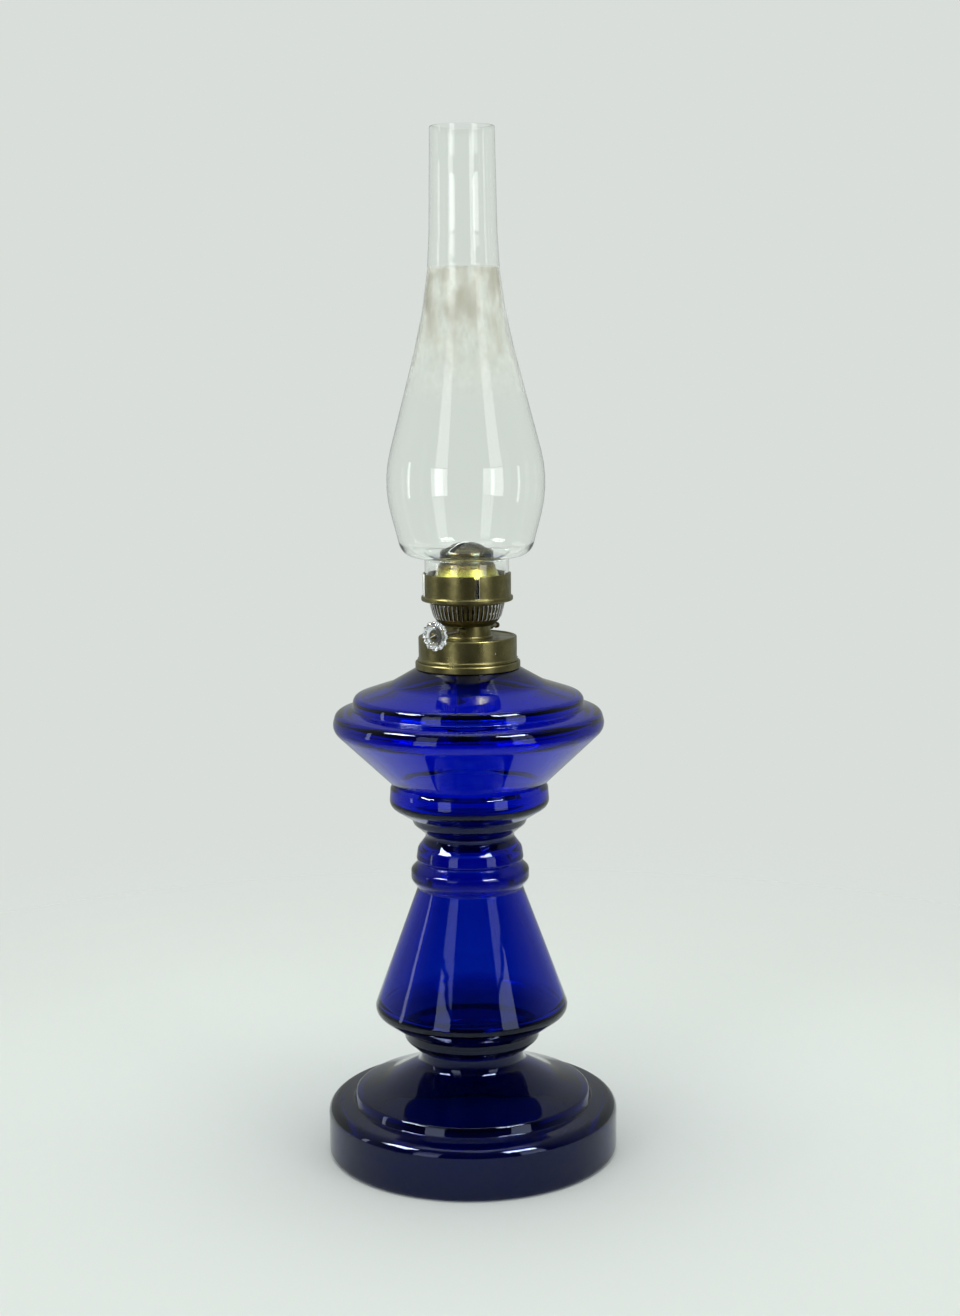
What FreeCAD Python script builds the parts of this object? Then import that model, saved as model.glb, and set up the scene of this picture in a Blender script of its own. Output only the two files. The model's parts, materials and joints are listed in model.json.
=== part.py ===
"""A table oil lamp: hollow blue glass body, brass flat-wick burner and clear bulb chimney.

Millimetres. The origin is on the table at the lamp's axis, +Z is up, and the wick knob points along -Y.
Every driving size is a cell of the sheet, and each piece's sketches and features are bound to those cells.
"""
import FreeCAD, Part
import os

import Sketcher
from FreeCAD import Placement, Rotation, Vector

doc = FreeCAD.newDocument("OilLamp")
sheet = doc.addObject("Spreadsheet::Sheet", "sizes")
doc.recompute()


class Size:
    """A number together with the sheet formula that gives it, so that a sum of sizes can be bound."""

    def __init__(self, value, formula):
        self.value = value
        self.formula = formula

    def __add__(self, other):
        other = as_size(other)
        return Size(self.value + other.value, f"({self.formula} + {other.formula})")

    def __sub__(self, other):
        other = as_size(other)
        return Size(self.value - other.value, f"({self.formula} - {other.formula})")

    def __mul__(self, factor):
        return Size(self.value * factor, f"({self.formula} * {factor})")

    def __truediv__(self, divisor):
        return Size(self.value / divisor, f"({self.formula} / {divisor})")


def as_size(number):
    return number if isinstance(number, Size) else Size(number, str(number))


def smaller(first, second):
    return Size(min(first.value, second.value), f"min({first.formula}; {second.formula})")


def named(alias, value):
    """Puts one driving size in the next row of the sheet and returns it."""
    named.row += 1
    sheet.set(f"A{named.row}", alias.replace("_", " "))
    sheet.set(f"B{named.row}", str(value))
    sheet.setAlias(f"B{named.row}", alias)
    return Size(value, f"sizes.{alias}")


named.row = 0

# Shared walls and clearances
glass_wall = named("glass_wall", 3.8)
fit_gap = named("fit_gap", 0.05)
free_gap = named("free_gap", 0.3)
brass_wall = named("brass_wall", 0.5)
thin_wall = named("thin_wall", 0.4)
small_round = named("small_round", 0.8)
edge_round = named("edge_round", 0.25)
end_round = named("end_round", 0.5)
overshoot = named("overshoot", 1.0)

# Pedestal: radii and the rise of each stage above the one below
foot_radius = named("foot_radius", 70.6)
foot_rim_width = named("foot_rim_width", 6.0)
foot_height = named("foot_height", 24.8)
foot_edge_round = named("foot_edge_round", 5.0)
foot_base_round = named("foot_base_round", 3.0)
foot_slope = named("foot_slope", 1.4)
step_cove_radius = named("step_cove_radius", 58.4)
step_radius = named("step_radius", 56.8)
step_rise = named("step_rise", 4.4)
step_round = named("step_round", 1.8)
dome_radius = named("dome_radius", 43.0)
dome_rise = named("dome_rise", 4.4)
dome_round = named("dome_round", 30.0)
ankle_radius = named("ankle_radius", 25.5)
ankle_rise = named("ankle_rise", 9.5)
ankle_cove = named("ankle_cove", 5.0)
ankle_top_radius = named("ankle_top_radius", 24.6)
ankle_height = named("ankle_height", 7.8)
saucer_inner_radius = named("saucer_inner_radius", 28.2)
saucer_floor_rise = named("saucer_floor_rise", 0.3)
saucer_radius = named("saucer_radius", 32.9)
saucer_rise = named("saucer_rise", 4.6)
saucer_height = named("saucer_height", 4.8)
saucer_flare = named("saucer_flare", 0.5)
saucer_round = named("saucer_round", 2.2)
cone_heel_radius = named("cone_heel_radius", 41.0)
cone_heel_rise = named("cone_heel_rise", 4.2)
cone_radius = named("cone_radius", 47.7)
cone_base_rise = named("cone_base_rise", 5.3)
cone_base_round = named("cone_base_round", 4.5)
cone_top_radius = named("cone_top_radius", 25.4)
cone_height = named("cone_height", 60.6)
ring_radius = named("ring_radius", 28.6)
ring_rise = named("ring_rise", 4.2)
ring_height = named("ring_height", 4.8)
ring_round = named("ring_round", 2.4)
ring_groove_radius = named("ring_groove_radius", 24.7)
ring_groove_rise = named("ring_groove_rise", 3.8)
upper_ring_radius = named("upper_ring_radius", 26.0)
upper_ring_rise = named("upper_ring_rise", 1.4)
upper_ring_heel = named("upper_ring_heel", 1.2)
upper_ring_height = named("upper_ring_height", 5.2)
upper_ring_round = named("upper_ring_round", 3.5)
upper_ring_taper = named("upper_ring_taper", 0.8)
waist_radius = named("waist_radius", 21.5)
waist_rise = named("waist_rise", 4.9)
waist_inset = named("waist_inset", 0.9)
waist_height = named("waist_height", 2.4)
waist_floor = named("waist_floor", 6.5)
step_inner_rise = named("step_inner_rise", 0.6)
cone_inner_rise = named("cone_inner_rise", 1.9)
ankle_inner_rise = named("ankle_inner_rise", 4.56)
ankle_inner_drop = named("ankle_inner_drop", 1.9)

# Font: radii and rises above the waist
font_foot_radius = named("font_foot_radius", 27.1)
font_foot_rise = named("font_foot_rise", 4.7)
font_foot_round = named("font_foot_round", 2.0)
font_step_radius = named("font_step_radius", 28.4)
font_step_rise = named("font_step_rise", 3.4)
font_ring_inner_radius = named("font_ring_inner_radius", 30.7)
font_ring_inner_rise = named("font_ring_inner_rise", 0.9)
font_ring_radius = named("font_ring_radius", 38.6)
font_ring_rise = named("font_ring_rise", 4.9)
font_ring_round = named("font_ring_round", 4.4)
font_ring_height = named("font_ring_height", 8.4)
font_ring_shoulder = named("font_ring_shoulder", 2.4)
font_ring_taper = named("font_ring_taper", 0.6)
font_groove_radius = named("font_groove_radius", 36.8)
font_groove_rise = named("font_groove_rise", 1.8)
font_radius = named("font_radius", 65.6)
font_cone_height = named("font_cone_height", 27.6)
font_rim_round = named("font_rim_round", 7.5)
font_rim_top_radius = named("font_rim_top_radius", 63.6)
font_rim_height = named("font_rim_height", 7.2)
font_rim_top_round = named("font_rim_top_round", 3.5)
ledge_radius = named("ledge_radius", 55.5)
ledge_rise = named("ledge_rise", 2.3)
ledge_height = named("ledge_height", 5.3)
ledge_round = named("ledge_round", 3.3)
ledge_taper = named("ledge_taper", 0.5)
shoulder_spread = named("shoulder_spread", 18.4)
shoulder_rise = named("shoulder_rise", 5.8)
shoulder_round = named("shoulder_round", 15.0)
neck_radius = named("neck_radius", 19.6)
neck_slope = named("neck_slope", 10.6)
neck_height = named("neck_height", 7.2)
neck_inner_drop = named("neck_inner_drop", 0.76)
shoulder_inner_step = named("shoulder_inner_step", 1.0)
rim_inner_drop = named("rim_inner_drop", 2.28)
rim_inner_step = named("rim_inner_step", 4.94)
rim_inner_rise = named("rim_inner_rise", 1.0)
sump_rise = named("sump_rise", 2.28)
sump_wall_rise = named("sump_wall_rise", 1.9)

# Collar, plaster and the drum of the burner
collar_flange = named("collar_flange", 3.1)
collar_skirt = named("collar_skirt", 3.4)
plaster_width = named("plaster_width", 1.7)
collar_height = named("collar_height", 10.8)
collar_lip = named("collar_lip", 3.0)
thread_ring_wall = named("thread_ring_wall", 0.65)
drum_height = named("drum_height", 11.2)
drum_lip = named("drum_lip", 0.5)
drum_lip_height = named("drum_lip_height", 1.2)
drum_rim_height = named("drum_rim_height", 0.5)
drum_rim_width = named("drum_rim_width", 1.4)
drum_rim_slope = named("drum_rim_slope", 0.4)
drum_vent_radius = named("drum_vent_radius", 0.45)
drum_vent_height = named("drum_vent_height", 5.6)
drum_vent_angle = named("drum_vent_angle", 71)
thread_ring_height = named("thread_ring_height", 6.5)
collar_lip_round = named("collar_lip_round", 0.4)

# Burner neck, floor, vent and wick tube
burner_neck_gap = named("burner_neck_gap", 1.4)
burner_neck_height = named("burner_neck_height", 5.9)
burner_neck_flange = named("burner_neck_flange", 1.2)
floor_plate_lap = named("floor_plate_lap", 1.6)
vent_radius = named("vent_radius", 1.5)
vent_bore_radius = named("vent_bore_radius", 1.1)
vent_length = named("vent_length", 9.5)
vent_drop = named("vent_drop", 4.5)
vent_offset = named("vent_offset", 6.2)
wick_width = named("wick_width", 17.0)
wick_thickness = named("wick_thickness", 1.8)
wick_side_gap = named("wick_side_gap", 0.2)
wick_tube_drop = named("wick_tube_drop", 12.0)
wick_tube_length = named("wick_tube_length", 46.5)
wick_length = named("wick_length", 72.0)
wick_show = named("wick_show", 1.6)

# Wick raiser: offset of the spindle from the wick, and distances along it from the lamp's axis
spindle_radius = named("spindle_radius", 1.0)
spindle_height = named("spindle_height", 4.1)
wheel_radius = named("wheel_radius", 3.8)
wheel_width = named("wheel_width", 1.0)
wheel_place = named("wheel_place", 4.5)
wheel_teeth = named("wheel_teeth", 16)
tooth_depth = named("tooth_depth", 0.7)
tooth_gap = named("tooth_gap", 0.8)
tooth_overshoot = named("tooth_overshoot", 0.2)
window_extra = named("window_extra", 0.3)
window_half_height = named("window_half_height", 2.28)
bush_wall = named("bush_wall", 0.5)
bush_reach = named("bush_reach", 2.1)
front_bush_length = named("front_bush_length", 5.0)
back_bush_length = named("back_bush_length", 3.0)
spindle_back_reach = named("spindle_back_reach", 4.6)
end_cap_radius = named("end_cap_radius", 1.4)
end_cap_length = named("end_cap_length", 1.6)
knob_face = named("knob_face", 32.6)
knob_radius = named("knob_radius", 6.9)
knob_thickness = named("knob_thickness", 3.2)
knob_hub_radius = named("knob_hub_radius", 3.3)
knob_hub_depth = named("knob_hub_depth", 0.7)
knob_lobes = named("knob_lobes", 12)
knob_notch_radius = named("knob_notch_radius", 0.85)
knob_notch_offset = named("knob_notch_offset", 0.3)
knob_bevel_depth = named("knob_bevel_depth", 0.6)
knob_bevel_width = named("knob_bevel_width", 1.6)
knob_hub_slope = named("knob_hub_slope", 0.5)
ferrule_radius = named("ferrule_radius", 2.3)
ferrule_length = named("ferrule_length", 3.4)
ferrule_flange_radius = named("ferrule_flange_radius", 3.4)
ferrule_flange = named("ferrule_flange", 0.6)
screw_radius = named("screw_radius", 1.6)
screw_height = named("screw_height", 1.0)
screw_slot = named("screw_slot", 0.4)
screw_slot_depth = named("screw_slot_depth", 0.5)

# Air basket and diffuser
basket_foot_spread = named("basket_foot_spread", 1.5)
basket_heel_spread = named("basket_heel_spread", 2.1)
basket_heel_rise = named("basket_heel_rise", 1.8)
basket_belly_spread = named("basket_belly_spread", 1.6)
basket_belly_rise = named("basket_belly_rise", 2.4)
basket_upper_spread = named("basket_upper_spread", 1.1)
basket_upper_rise = named("basket_upper_rise", 3.8)
basket_top_spread = named("basket_top_spread", 0.8)
basket_top_rise = named("basket_top_rise", 3.5)
basket_slots = named("basket_slots", 46)
basket_slot_width = named("basket_slot_width", 1.1)
basket_slot_foot = named("basket_slot_foot", 3.2)
basket_slot_head = named("basket_slot_head", 1.0)
basket_heel_inset = named("basket_heel_inset", 0.28)
basket_foot_inset = named("basket_foot_inset", 0.2)
diffuser_height = named("diffuser_height", 6.4)
diffuser_hole_radius = named("diffuser_hole_radius", 0.7)
diffuser_inner_step = named("diffuser_inner_step", 2.3)
diffuser_inner_holes = named("diffuser_inner_holes", 22)
diffuser_outer_step = named("diffuser_outer_step", 2.6)
diffuser_outer_holes = named("diffuser_outer_holes", 28)

# Chimney: a standard fitter, and the rises of the bulb and the stack above the seat
fitter_radius = named("fitter_radius", 20.0)
fitter_height = named("fitter_height", 19.4)
chimney_wall = named("chimney_wall", 1.2)
fitter_round = named("fitter_round", 1.6)
bulb_base_spread = named("bulb_base_spread", 10.6)
bulb_base_rise = named("bulb_base_rise", 2.2)
bulb_base_round = named("bulb_base_round", 15.0)
bulb_radius = named("bulb_radius", 39.4)
bulb_rise = named("bulb_rise", 33.8)
bulb_round = named("bulb_round", 60.0)
stack_base_radius = named("stack_base_radius", 16.4)
stack_base_rise = named("stack_base_rise", 88.0)
stack_round = named("stack_round", 230.0)
stack_top_radius = named("stack_top_radius", 15.1)
stack_height = named("stack_height", 74.8)
chimney_lip_round = named("chimney_lip_round", 0.45)
bulb_base_inset = named("bulb_base_inset", 0.96)
chimney_inner_rise = named("chimney_inner_rise", 0.98)

# Gallery that grips the chimney's fitter
gallery_gap = named("gallery_gap", 0.4)
gallery_height = named("gallery_height", 13.1)
gallery_bead = named("gallery_bead", 0.9)
gallery_bead_height = named("gallery_bead_height", 2.2)
gallery_bead_round = named("gallery_bead_round", 0.8)
gallery_bead_slope = named("gallery_bead_slope", 0.2)
gallery_floor_lap = named("gallery_floor_lap", 1.1)
gallery_slots = named("gallery_slots", 4)
gallery_slot_width = named("gallery_slot_width", 2.4)
gallery_slot_foot = named("gallery_slot_foot", 0.4)
gallery_turn = named("gallery_turn", 51)

# Deflector dome
deflector_rim_gap = named("deflector_rim_gap", 0.5)
deflector_rim_height = named("deflector_rim_height", 0.8)
deflector_flare_step = named("deflector_flare_step", 2.8)
deflector_flare_rise = named("deflector_flare_rise", 10.1)
deflector_neck_step = named("deflector_neck_step", 1.9)
deflector_neck_rise = named("deflector_neck_rise", 4.5)
deflector_lip_height = named("deflector_lip_height", 0.8)
deflector_band_step = named("deflector_band_step", 0.7)
deflector_band_height = named("deflector_band_height", 1.6)
dome_side_height = named("dome_side_height", 3.6)
dome_side_round = named("dome_side_round", 7.5)
dome_crown_step = named("dome_crown_step", 5.9)
dome_crown_rise = named("dome_crown_rise", 5.8)
dome_crown_round = named("dome_crown_round", 12.0)
dome_top_rise = named("dome_top_rise", 1.0)
dome_wall_inset = named("dome_wall_inset", 0.16)
flame_slot_width = named("flame_slot_width", 3.3)
flame_slot_depth = named("flame_slot_depth", 5.8)

doc.recompute()

# Places worked out from the sizes above
axis = Size(0.0, "0")
ground = Size(0.0, "0")
foot_slope_top = foot_height + foot_slope
step_top = foot_slope_top + step_rise
dome_top = step_top + dome_rise
ankle_base = dome_top + ankle_rise
ankle_top = ankle_base + ankle_height
saucer_base = ankle_top + saucer_rise
saucer_top = saucer_base + saucer_height
cone_heel_top = saucer_top + cone_heel_rise
cone_base = cone_heel_top + cone_base_rise
cone_top = cone_base + cone_height
ring_base = cone_top + ring_rise
ring_top = ring_base + ring_height
ring_groove = ring_top + ring_groove_rise
upper_ring_base = ring_groove + upper_ring_rise
upper_ring_top = upper_ring_base + upper_ring_height
waist_base = upper_ring_top + waist_rise
waist_level = waist_base + waist_height

font_step_top = font_foot_rise + font_step_rise
font_ring_foot = font_step_top + font_ring_inner_rise
font_ring_base = font_ring_foot + font_ring_rise
font_ring_top = font_ring_base + font_ring_height
font_groove = font_ring_top + font_groove_rise
font_widest = font_groove + font_cone_height
font_rim_top = font_widest + font_rim_height
ledge_foot = font_rim_top + ledge_rise
ledge_top = ledge_foot + ledge_height
shoulder_top = ledge_top + shoulder_rise
neck_base = shoulder_top + neck_slope
neck_top = neck_base + neck_height

# The collar's lip rests just over the glass neck, and the drum stands on the collar's skirt
collar_level = waist_level + neck_top + free_gap + brass_wall - collar_height
drum_level = collar_level + collar_skirt
burner_level = drum_level + drum_height
neck_top_level = burner_level + burner_neck_height
basket_height = basket_heel_rise + basket_belly_rise + basket_upper_rise + basket_top_rise
gallery_level = neck_top_level + basket_height
seat_level = gallery_level + brass_wall
floor_plate_level = burner_level - brass_wall - brass_wall
wick_tube_level = floor_plate_level - wick_tube_drop
wick_top_level = wick_tube_level + wick_tube_length + wick_show
wick_level = wick_top_level - wick_length
spindle_level = burner_level + spindle_height
spindle_offset = wick_thickness / 2 + free_gap + wheel_radius
bush_radius = spindle_radius + fit_gap + bush_wall
knob_back = knob_face - knob_thickness

shoulder_radius = neck_radius + shoulder_spread

# The collar goes round the glass neck and its plaster, and the drum round the collar's thread
collar_mouth_radius = neck_radius - collar_lip
collar_thread_radius = neck_radius + fit_gap + plaster_width + fit_gap + brass_wall
collar_radius = collar_thread_radius + collar_flange
thread_ring_bore = collar_thread_radius + free_gap
drum_radius = thread_ring_bore + thread_ring_wall + fit_gap + brass_wall

# The burner's neck, floor and basket go round the wick tube
tube_half_depth = wick_thickness / 2 + free_gap + thin_wall
tube_half_width = wick_width / 2 + wick_side_gap + thin_wall
burner_neck_radius = tube_half_width + burner_neck_gap + brass_wall
floor_plate_radius = burner_neck_radius + floor_plate_lap
bush_start = burner_neck_radius - bush_reach
basket_foot_radius = burner_neck_radius + basket_foot_spread
basket_heel_radius = basket_foot_radius + basket_heel_spread
basket_belly_radius = basket_heel_radius + basket_belly_spread
basket_upper_radius = basket_belly_radius + basket_upper_spread
basket_top_radius = basket_upper_radius + basket_top_spread
diffuser_inner_circle = tube_half_width + diffuser_inner_step
diffuser_outer_circle = diffuser_inner_circle + diffuser_outer_step

# The gallery goes round the chimney's fitter, and the deflector stands inside it
gallery_inner_radius = fitter_radius + gallery_gap
gallery_radius = gallery_inner_radius + brass_wall
bulb_base_radius = fitter_radius + bulb_base_spread
deflector_radius = fitter_radius - chimney_wall - deflector_rim_gap
gallery_floor_radius = smaller(deflector_radius, basket_top_radius) - gallery_floor_lap
deflector_flare_radius = deflector_radius - deflector_flare_step
deflector_neck_radius = deflector_flare_radius - deflector_neck_step
deflector_band_radius = deflector_neck_radius - deflector_band_step
dome_crown_radius = deflector_band_radius - dome_crown_step

FACING_KNOB = Rotation(Vector(1, 0, 0), 90)


def origin_feature(body, role):
    return next(f for f in body.Origin.OriginFeatures if f.Role == role)


def bind(thing, path, size):
    """Sets a property or a constraint from a size's formula, unless the size is a plain number."""
    thing.setExpression(path, as_size(size).formula)


def new_body(label, level=ground, turn=None):
    """Starts a piece whose own zero stands at a level on the lamp's axis."""
    body = doc.addObject("PartDesign::Body", label)
    body.Label = label
    rotation = Rotation() if turn is None else Rotation(Vector(0, 0, 1), turn.value)
    body.Placement = Placement(Vector(0, 0, as_size(level).value), rotation)
    bind(body, ".Placement.Base.z", level)
    if turn is not None:
        bind(body, ".Placement.Rotation.Angle", turn)
    return body


def on_spindle(body):
    """Lays a piece along the wick spindle: its own +Z then runs from the lamp's axis towards the knob."""
    body.Placement = Placement(Vector(spindle_offset.value, 0, spindle_level.value), FACING_KNOB)
    bind(body, ".Placement.Base.x", spindle_offset)
    bind(body, ".Placement.Base.z", spindle_level)


def new_sketch(body, name, plane="XZ_Plane", offset=None):
    """Starts a sketch on one of the body's own planes, or parallel to it at an offset."""
    sketch = body.newObject("Sketcher::SketchObject", name)
    sketch.AttachmentSupport = [(origin_feature(body, plane), "")]
    sketch.MapMode = "FlatFace"
    if offset is not None:
        sketch.AttachmentOffset = Placement(Vector(0, 0, offset.value), Rotation())
        bind(sketch, ".AttachmentOffset.Base.z", offset)
    return sketch


def place_point(sketch, geometry, point, across, up):
    """Dimensions one sketch point from the origin, or puts it on an axis where its distance is nothing."""
    for kind, distance, axis_line in (("DistanceX", across, -2), ("DistanceY", up, -1)):
        if distance.formula == "0":
            sketch.addConstraint(Sketcher.Constraint("PointOnObject", geometry, point, axis_line))
            continue
        index = sketch.addConstraint(
            Sketcher.Constraint(kind, -1, 1, geometry, point, distance.value)
        )
        bind(sketch, f"Constraints[{index}]", distance)


def draw_polygon(sketch, corners):
    """A closed outline of straight runs through corners given as (across, up) sizes."""
    start = sketch.GeometryCount
    points = [Vector(across.value, up.value, 0) for across, up in corners]
    for here, there in zip(points, points[1:] + points[:1]):
        sketch.addGeometry(Part.LineSegment(here, there), False)
    count = len(points)
    for i in range(count):
        following = start + (i + 1) % count
        sketch.addConstraint(Sketcher.Constraint("Coincident", start + i, 2, following, 1))
    for i, (across, up) in enumerate(corners):
        place_point(sketch, start + i, 1, across, up)


def draw_rectangle(sketch, low, high):
    draw_polygon(sketch, [low, (high[0], low[1]), high, (low[0], high[1])])


def draw_circle(sketch, across, up, radius):
    index = sketch.addGeometry(
        Part.Circle(Vector(across.value, up.value, 0), Vector(0, 0, 1), radius.value), False
    )
    place_point(sketch, index, 3, across, up)
    size = sketch.addConstraint(Sketcher.Constraint("Radius", index, radius.value))
    bind(sketch, f"Constraints[{size}]", radius)


def circular_edges(shape, radius, height):
    """Names of the whole circular edges about the body's axis at a radius and height."""
    near = 1e-4
    return [
        f"Edge{i}"
        for i, edge in enumerate(shape.Edges, 1)
        if isinstance(edge.Curve, Part.Circle)
        and abs(edge.Curve.Radius - radius) < near
        and abs(edge.Curve.Center.z - height) < near
        and abs(edge.Curve.Center.x) < near
    ]


def turned(body, outline):
    """Revolves an outline of (radius, height) or (radius, height, round) corners, then rounds its edges."""
    outline = [tuple(as_size(size) for size in corner) for corner in outline]
    sketch = new_sketch(body, f"{body.Label}_section")
    draw_polygon(sketch, [corner[:2] for corner in outline])
    lathe = body.newObject("PartDesign::Revolution", f"{body.Label}_turned")
    lathe.Profile = sketch
    lathe.ReferenceAxis = (sketch, ["V_Axis"])
    lathe.Angle = 360
    sketch.Visibility = False
    doc.recompute()
    tip = lathe
    rounds = {}
    for corner in outline:
        if len(corner) == 3:
            rounds.setdefault(corner[2].formula, []).append(corner)
    for corners in rounds.values():
        edges = []
        for radius, height, _ in corners:
            edges += circular_edges(tip.Shape, radius.value, height.value)
        if len(edges) != len(corners):
            raise ValueError(f"{body.Label}: {len(edges)} edges for {len(corners)} rounded corners")
        fillet = body.newObject("PartDesign::Fillet", f"{body.Label}_round")
        fillet.Base = (tip, edges)
        fillet.Radius = corners[0][2].value
        bind(fillet, "Radius", corners[0][2])
        doc.recompute()
        tip = fillet
    return tip


def cut(body, sketch, both_ways=False, depth=None, backwards=False):
    """Pockets a sketch through the body, or to a depth, and checks that it took material away."""
    before = body.Shape.Volume
    pocket = body.newObject("PartDesign::Pocket", f"{sketch.Name}_cut")
    pocket.Profile = sketch
    pocket.Reversed = backwards
    pocket.Refine = False
    if depth is None:
        pocket.Type = 1
    else:
        pocket.Length = depth.value
        bind(pocket, "Length", depth)
    pocket.Midplane = both_ways
    sketch.Visibility = False
    doc.recompute()
    if not body.Shape.Volume < before:
        raise ValueError(f"{sketch.Name} cuts nothing")
    return pocket


def repeat_round(body, feature, count):
    """Repeats a feature evenly about the body's Z axis."""
    pattern = body.newObject("PartDesign::PolarPattern", f"{feature.Name}_pattern")
    pattern.Originals = [feature]
    pattern.Axis = (origin_feature(body, "Z_Axis"), [""])
    pattern.Angle = 360
    pattern.Refine = False
    pattern.Occurrences = int(count.value)
    bind(pattern, "Occurrences", count)
    body.Tip = pattern
    doc.recompute()
    return pattern


def make_pedestal():
    """Foot, stepped dome, ankle, saucer, cone and two rings, hollow and open underneath."""
    wall = glass_wall
    turned(new_body("glass_pedestal"), [
        (foot_radius - foot_rim_width, ground),
        (foot_radius, ground, foot_base_round),
        (foot_radius, foot_height, foot_edge_round),
        (step_cove_radius, foot_slope_top, small_round),
        (step_radius, step_top, step_round),
        (dome_radius, dome_top, dome_round),
        (ankle_radius, ankle_base, ankle_cove),
        (ankle_top_radius, ankle_top, small_round),
        (saucer_inner_radius, ankle_top + saucer_floor_rise, step_round),
        (saucer_radius, saucer_base, saucer_round),
        (saucer_radius + saucer_flare, saucer_top, small_round),
        (cone_heel_radius, cone_heel_top, cone_base_round),
        (cone_radius, cone_base, cone_base_round),
        (cone_top_radius, cone_top, small_round),
        (ring_radius, ring_base, ring_round),
        (ring_radius, ring_top, ring_round),
        (ring_groove_radius, ring_groove, small_round),
        (upper_ring_radius, upper_ring_base, upper_ring_heel),
        (upper_ring_radius - upper_ring_taper, upper_ring_top, upper_ring_round),
        (waist_radius, waist_base, small_round),
        (waist_radius, waist_level),
        (axis, waist_level),
        (axis, waist_level - waist_floor),
        (waist_radius - waist_inset, waist_level - waist_floor, saucer_round),
        (cone_top_radius - wall, cone_top, dome_round),
        (cone_radius - wall, cone_base + cone_inner_rise, cone_base_round),
        (ankle_top_radius - wall, ankle_top + ankle_inner_rise, saucer_round),
        (ankle_radius - wall, ankle_base - ankle_inner_drop, ankle_cove),
        (dome_radius, dome_top - wall, dome_round),
        (step_radius - wall, foot_slope_top + step_inner_rise, saucer_round),
        (step_cove_radius, foot_height - wall + foot_slope, small_round),
        (foot_radius - foot_rim_width, foot_height - wall, saucer_round),
    ])


def make_font():
    """Reservoir with its lower ring, wide rim, ledge, domed shoulder and neck."""
    wall = glass_wall
    turned(new_body("glass_font", waist_level), [
        (axis, ground),
        (waist_radius, ground),
        (font_foot_radius, font_foot_rise, font_foot_round),
        (font_step_radius, font_step_top, small_round),
        (font_ring_inner_radius, font_ring_foot, small_round),
        (font_ring_radius, font_ring_base, font_ring_round),
        (font_ring_radius - font_ring_taper, font_ring_top, font_ring_shoulder),
        (font_groove_radius, font_groove),
        (font_radius, font_widest, font_rim_round),
        (font_rim_top_radius, font_rim_top, font_rim_top_round),
        (ledge_radius, ledge_foot, small_round),
        (ledge_radius - ledge_taper, ledge_top, ledge_round),
        (shoulder_radius, shoulder_top, shoulder_round),
        (neck_radius, neck_base, small_round),
        (neck_radius, neck_top, small_round),
        (neck_radius - wall, neck_top, small_round),
        (neck_radius - wall, neck_base - neck_inner_drop, ledge_round),
        (shoulder_radius - shoulder_inner_step, shoulder_top - wall, shoulder_round),
        (ledge_radius - wall - ledge_taper, ledge_top - wall, ledge_round),
        (ledge_radius - wall, font_rim_top - rim_inner_drop, small_round),
        (font_radius - rim_inner_step, font_widest + rim_inner_rise, font_rim_top_round),
        (font_groove_radius - wall, font_groove + sump_rise, ledge_round),
        (font_ring_radius - font_ring_taper - wall, font_ring_base + sump_wall_rise, font_rim_top_round),
        (font_step_radius - wall, font_step_top + sump_rise, font_rim_top_round),
        (axis, font_foot_rise + wall),
    ])


def make_collar():
    """Brass collar: a visible skirt on the shoulder and an upright threaded tube with a turned-in lip."""
    turned(new_body("collar_ring", collar_level), [
        (collar_radius, ground),
        (collar_radius, collar_skirt, small_round),
        (collar_thread_radius, collar_skirt),
        (collar_thread_radius, collar_height, collar_lip_round),
        (collar_mouth_radius, collar_height),
        (collar_mouth_radius, collar_height - brass_wall),
        (collar_thread_radius - brass_wall, collar_height - brass_wall),
        (collar_thread_radius - brass_wall, collar_skirt - brass_wall),
        (collar_radius - brass_wall, collar_skirt - brass_wall),
        (collar_radius - brass_wall, ground),
    ])
    plaster_foot = collar_skirt - brass_wall + small_round
    turned(new_body("collar_plaster", collar_level), [
        (neck_radius + fit_gap, plaster_foot),
        (collar_thread_radius - brass_wall - fit_gap, plaster_foot),
        (collar_thread_radius - brass_wall - fit_gap, collar_height - brass_wall - free_gap),
        (neck_radius + fit_gap, collar_height - brass_wall - free_gap),
    ])


def make_drum():
    """Plain brass drum: rolled lip below, raised rim round its flat top, and a pin-hole vent in the side."""
    body = new_body("burner_cap", drum_level)
    turned(body, [
        (drum_radius - brass_wall, ground),
        (drum_radius + drum_lip, ground, edge_round),
        (drum_radius + drum_lip, drum_lip_height, edge_round),
        (drum_radius, drum_lip_height + drum_lip),
        (drum_radius, drum_height + drum_rim_height, small_round),
        (drum_radius - drum_rim_width, drum_height + drum_rim_height, edge_round),
        (drum_radius - drum_rim_width - drum_rim_slope, drum_height),
        (burner_neck_radius - brass_wall, drum_height),
        (burner_neck_radius - brass_wall, drum_height - brass_wall),
        (drum_radius - brass_wall, drum_height - brass_wall),
    ])
    body.Placement.Rotation = Rotation(Vector(0, 0, 1), drum_vent_angle.value)
    bind(body, ".Placement.Rotation.Angle", drum_vent_angle)
    hole = new_sketch(body, "drum_vent")
    draw_circle(hole, axis, drum_vent_height, drum_vent_radius)
    cut(body, hole, depth=drum_radius * 2, backwards=True)

    ring_outer = drum_radius - brass_wall - fit_gap
    turned(new_body("thread_ring", drum_level), [
        (thread_ring_bore, drum_lip_height),
        (ring_outer, drum_lip_height),
        (ring_outer, drum_lip_height + thread_ring_height),
        (thread_ring_bore, drum_lip_height + thread_ring_height),
    ])


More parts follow.
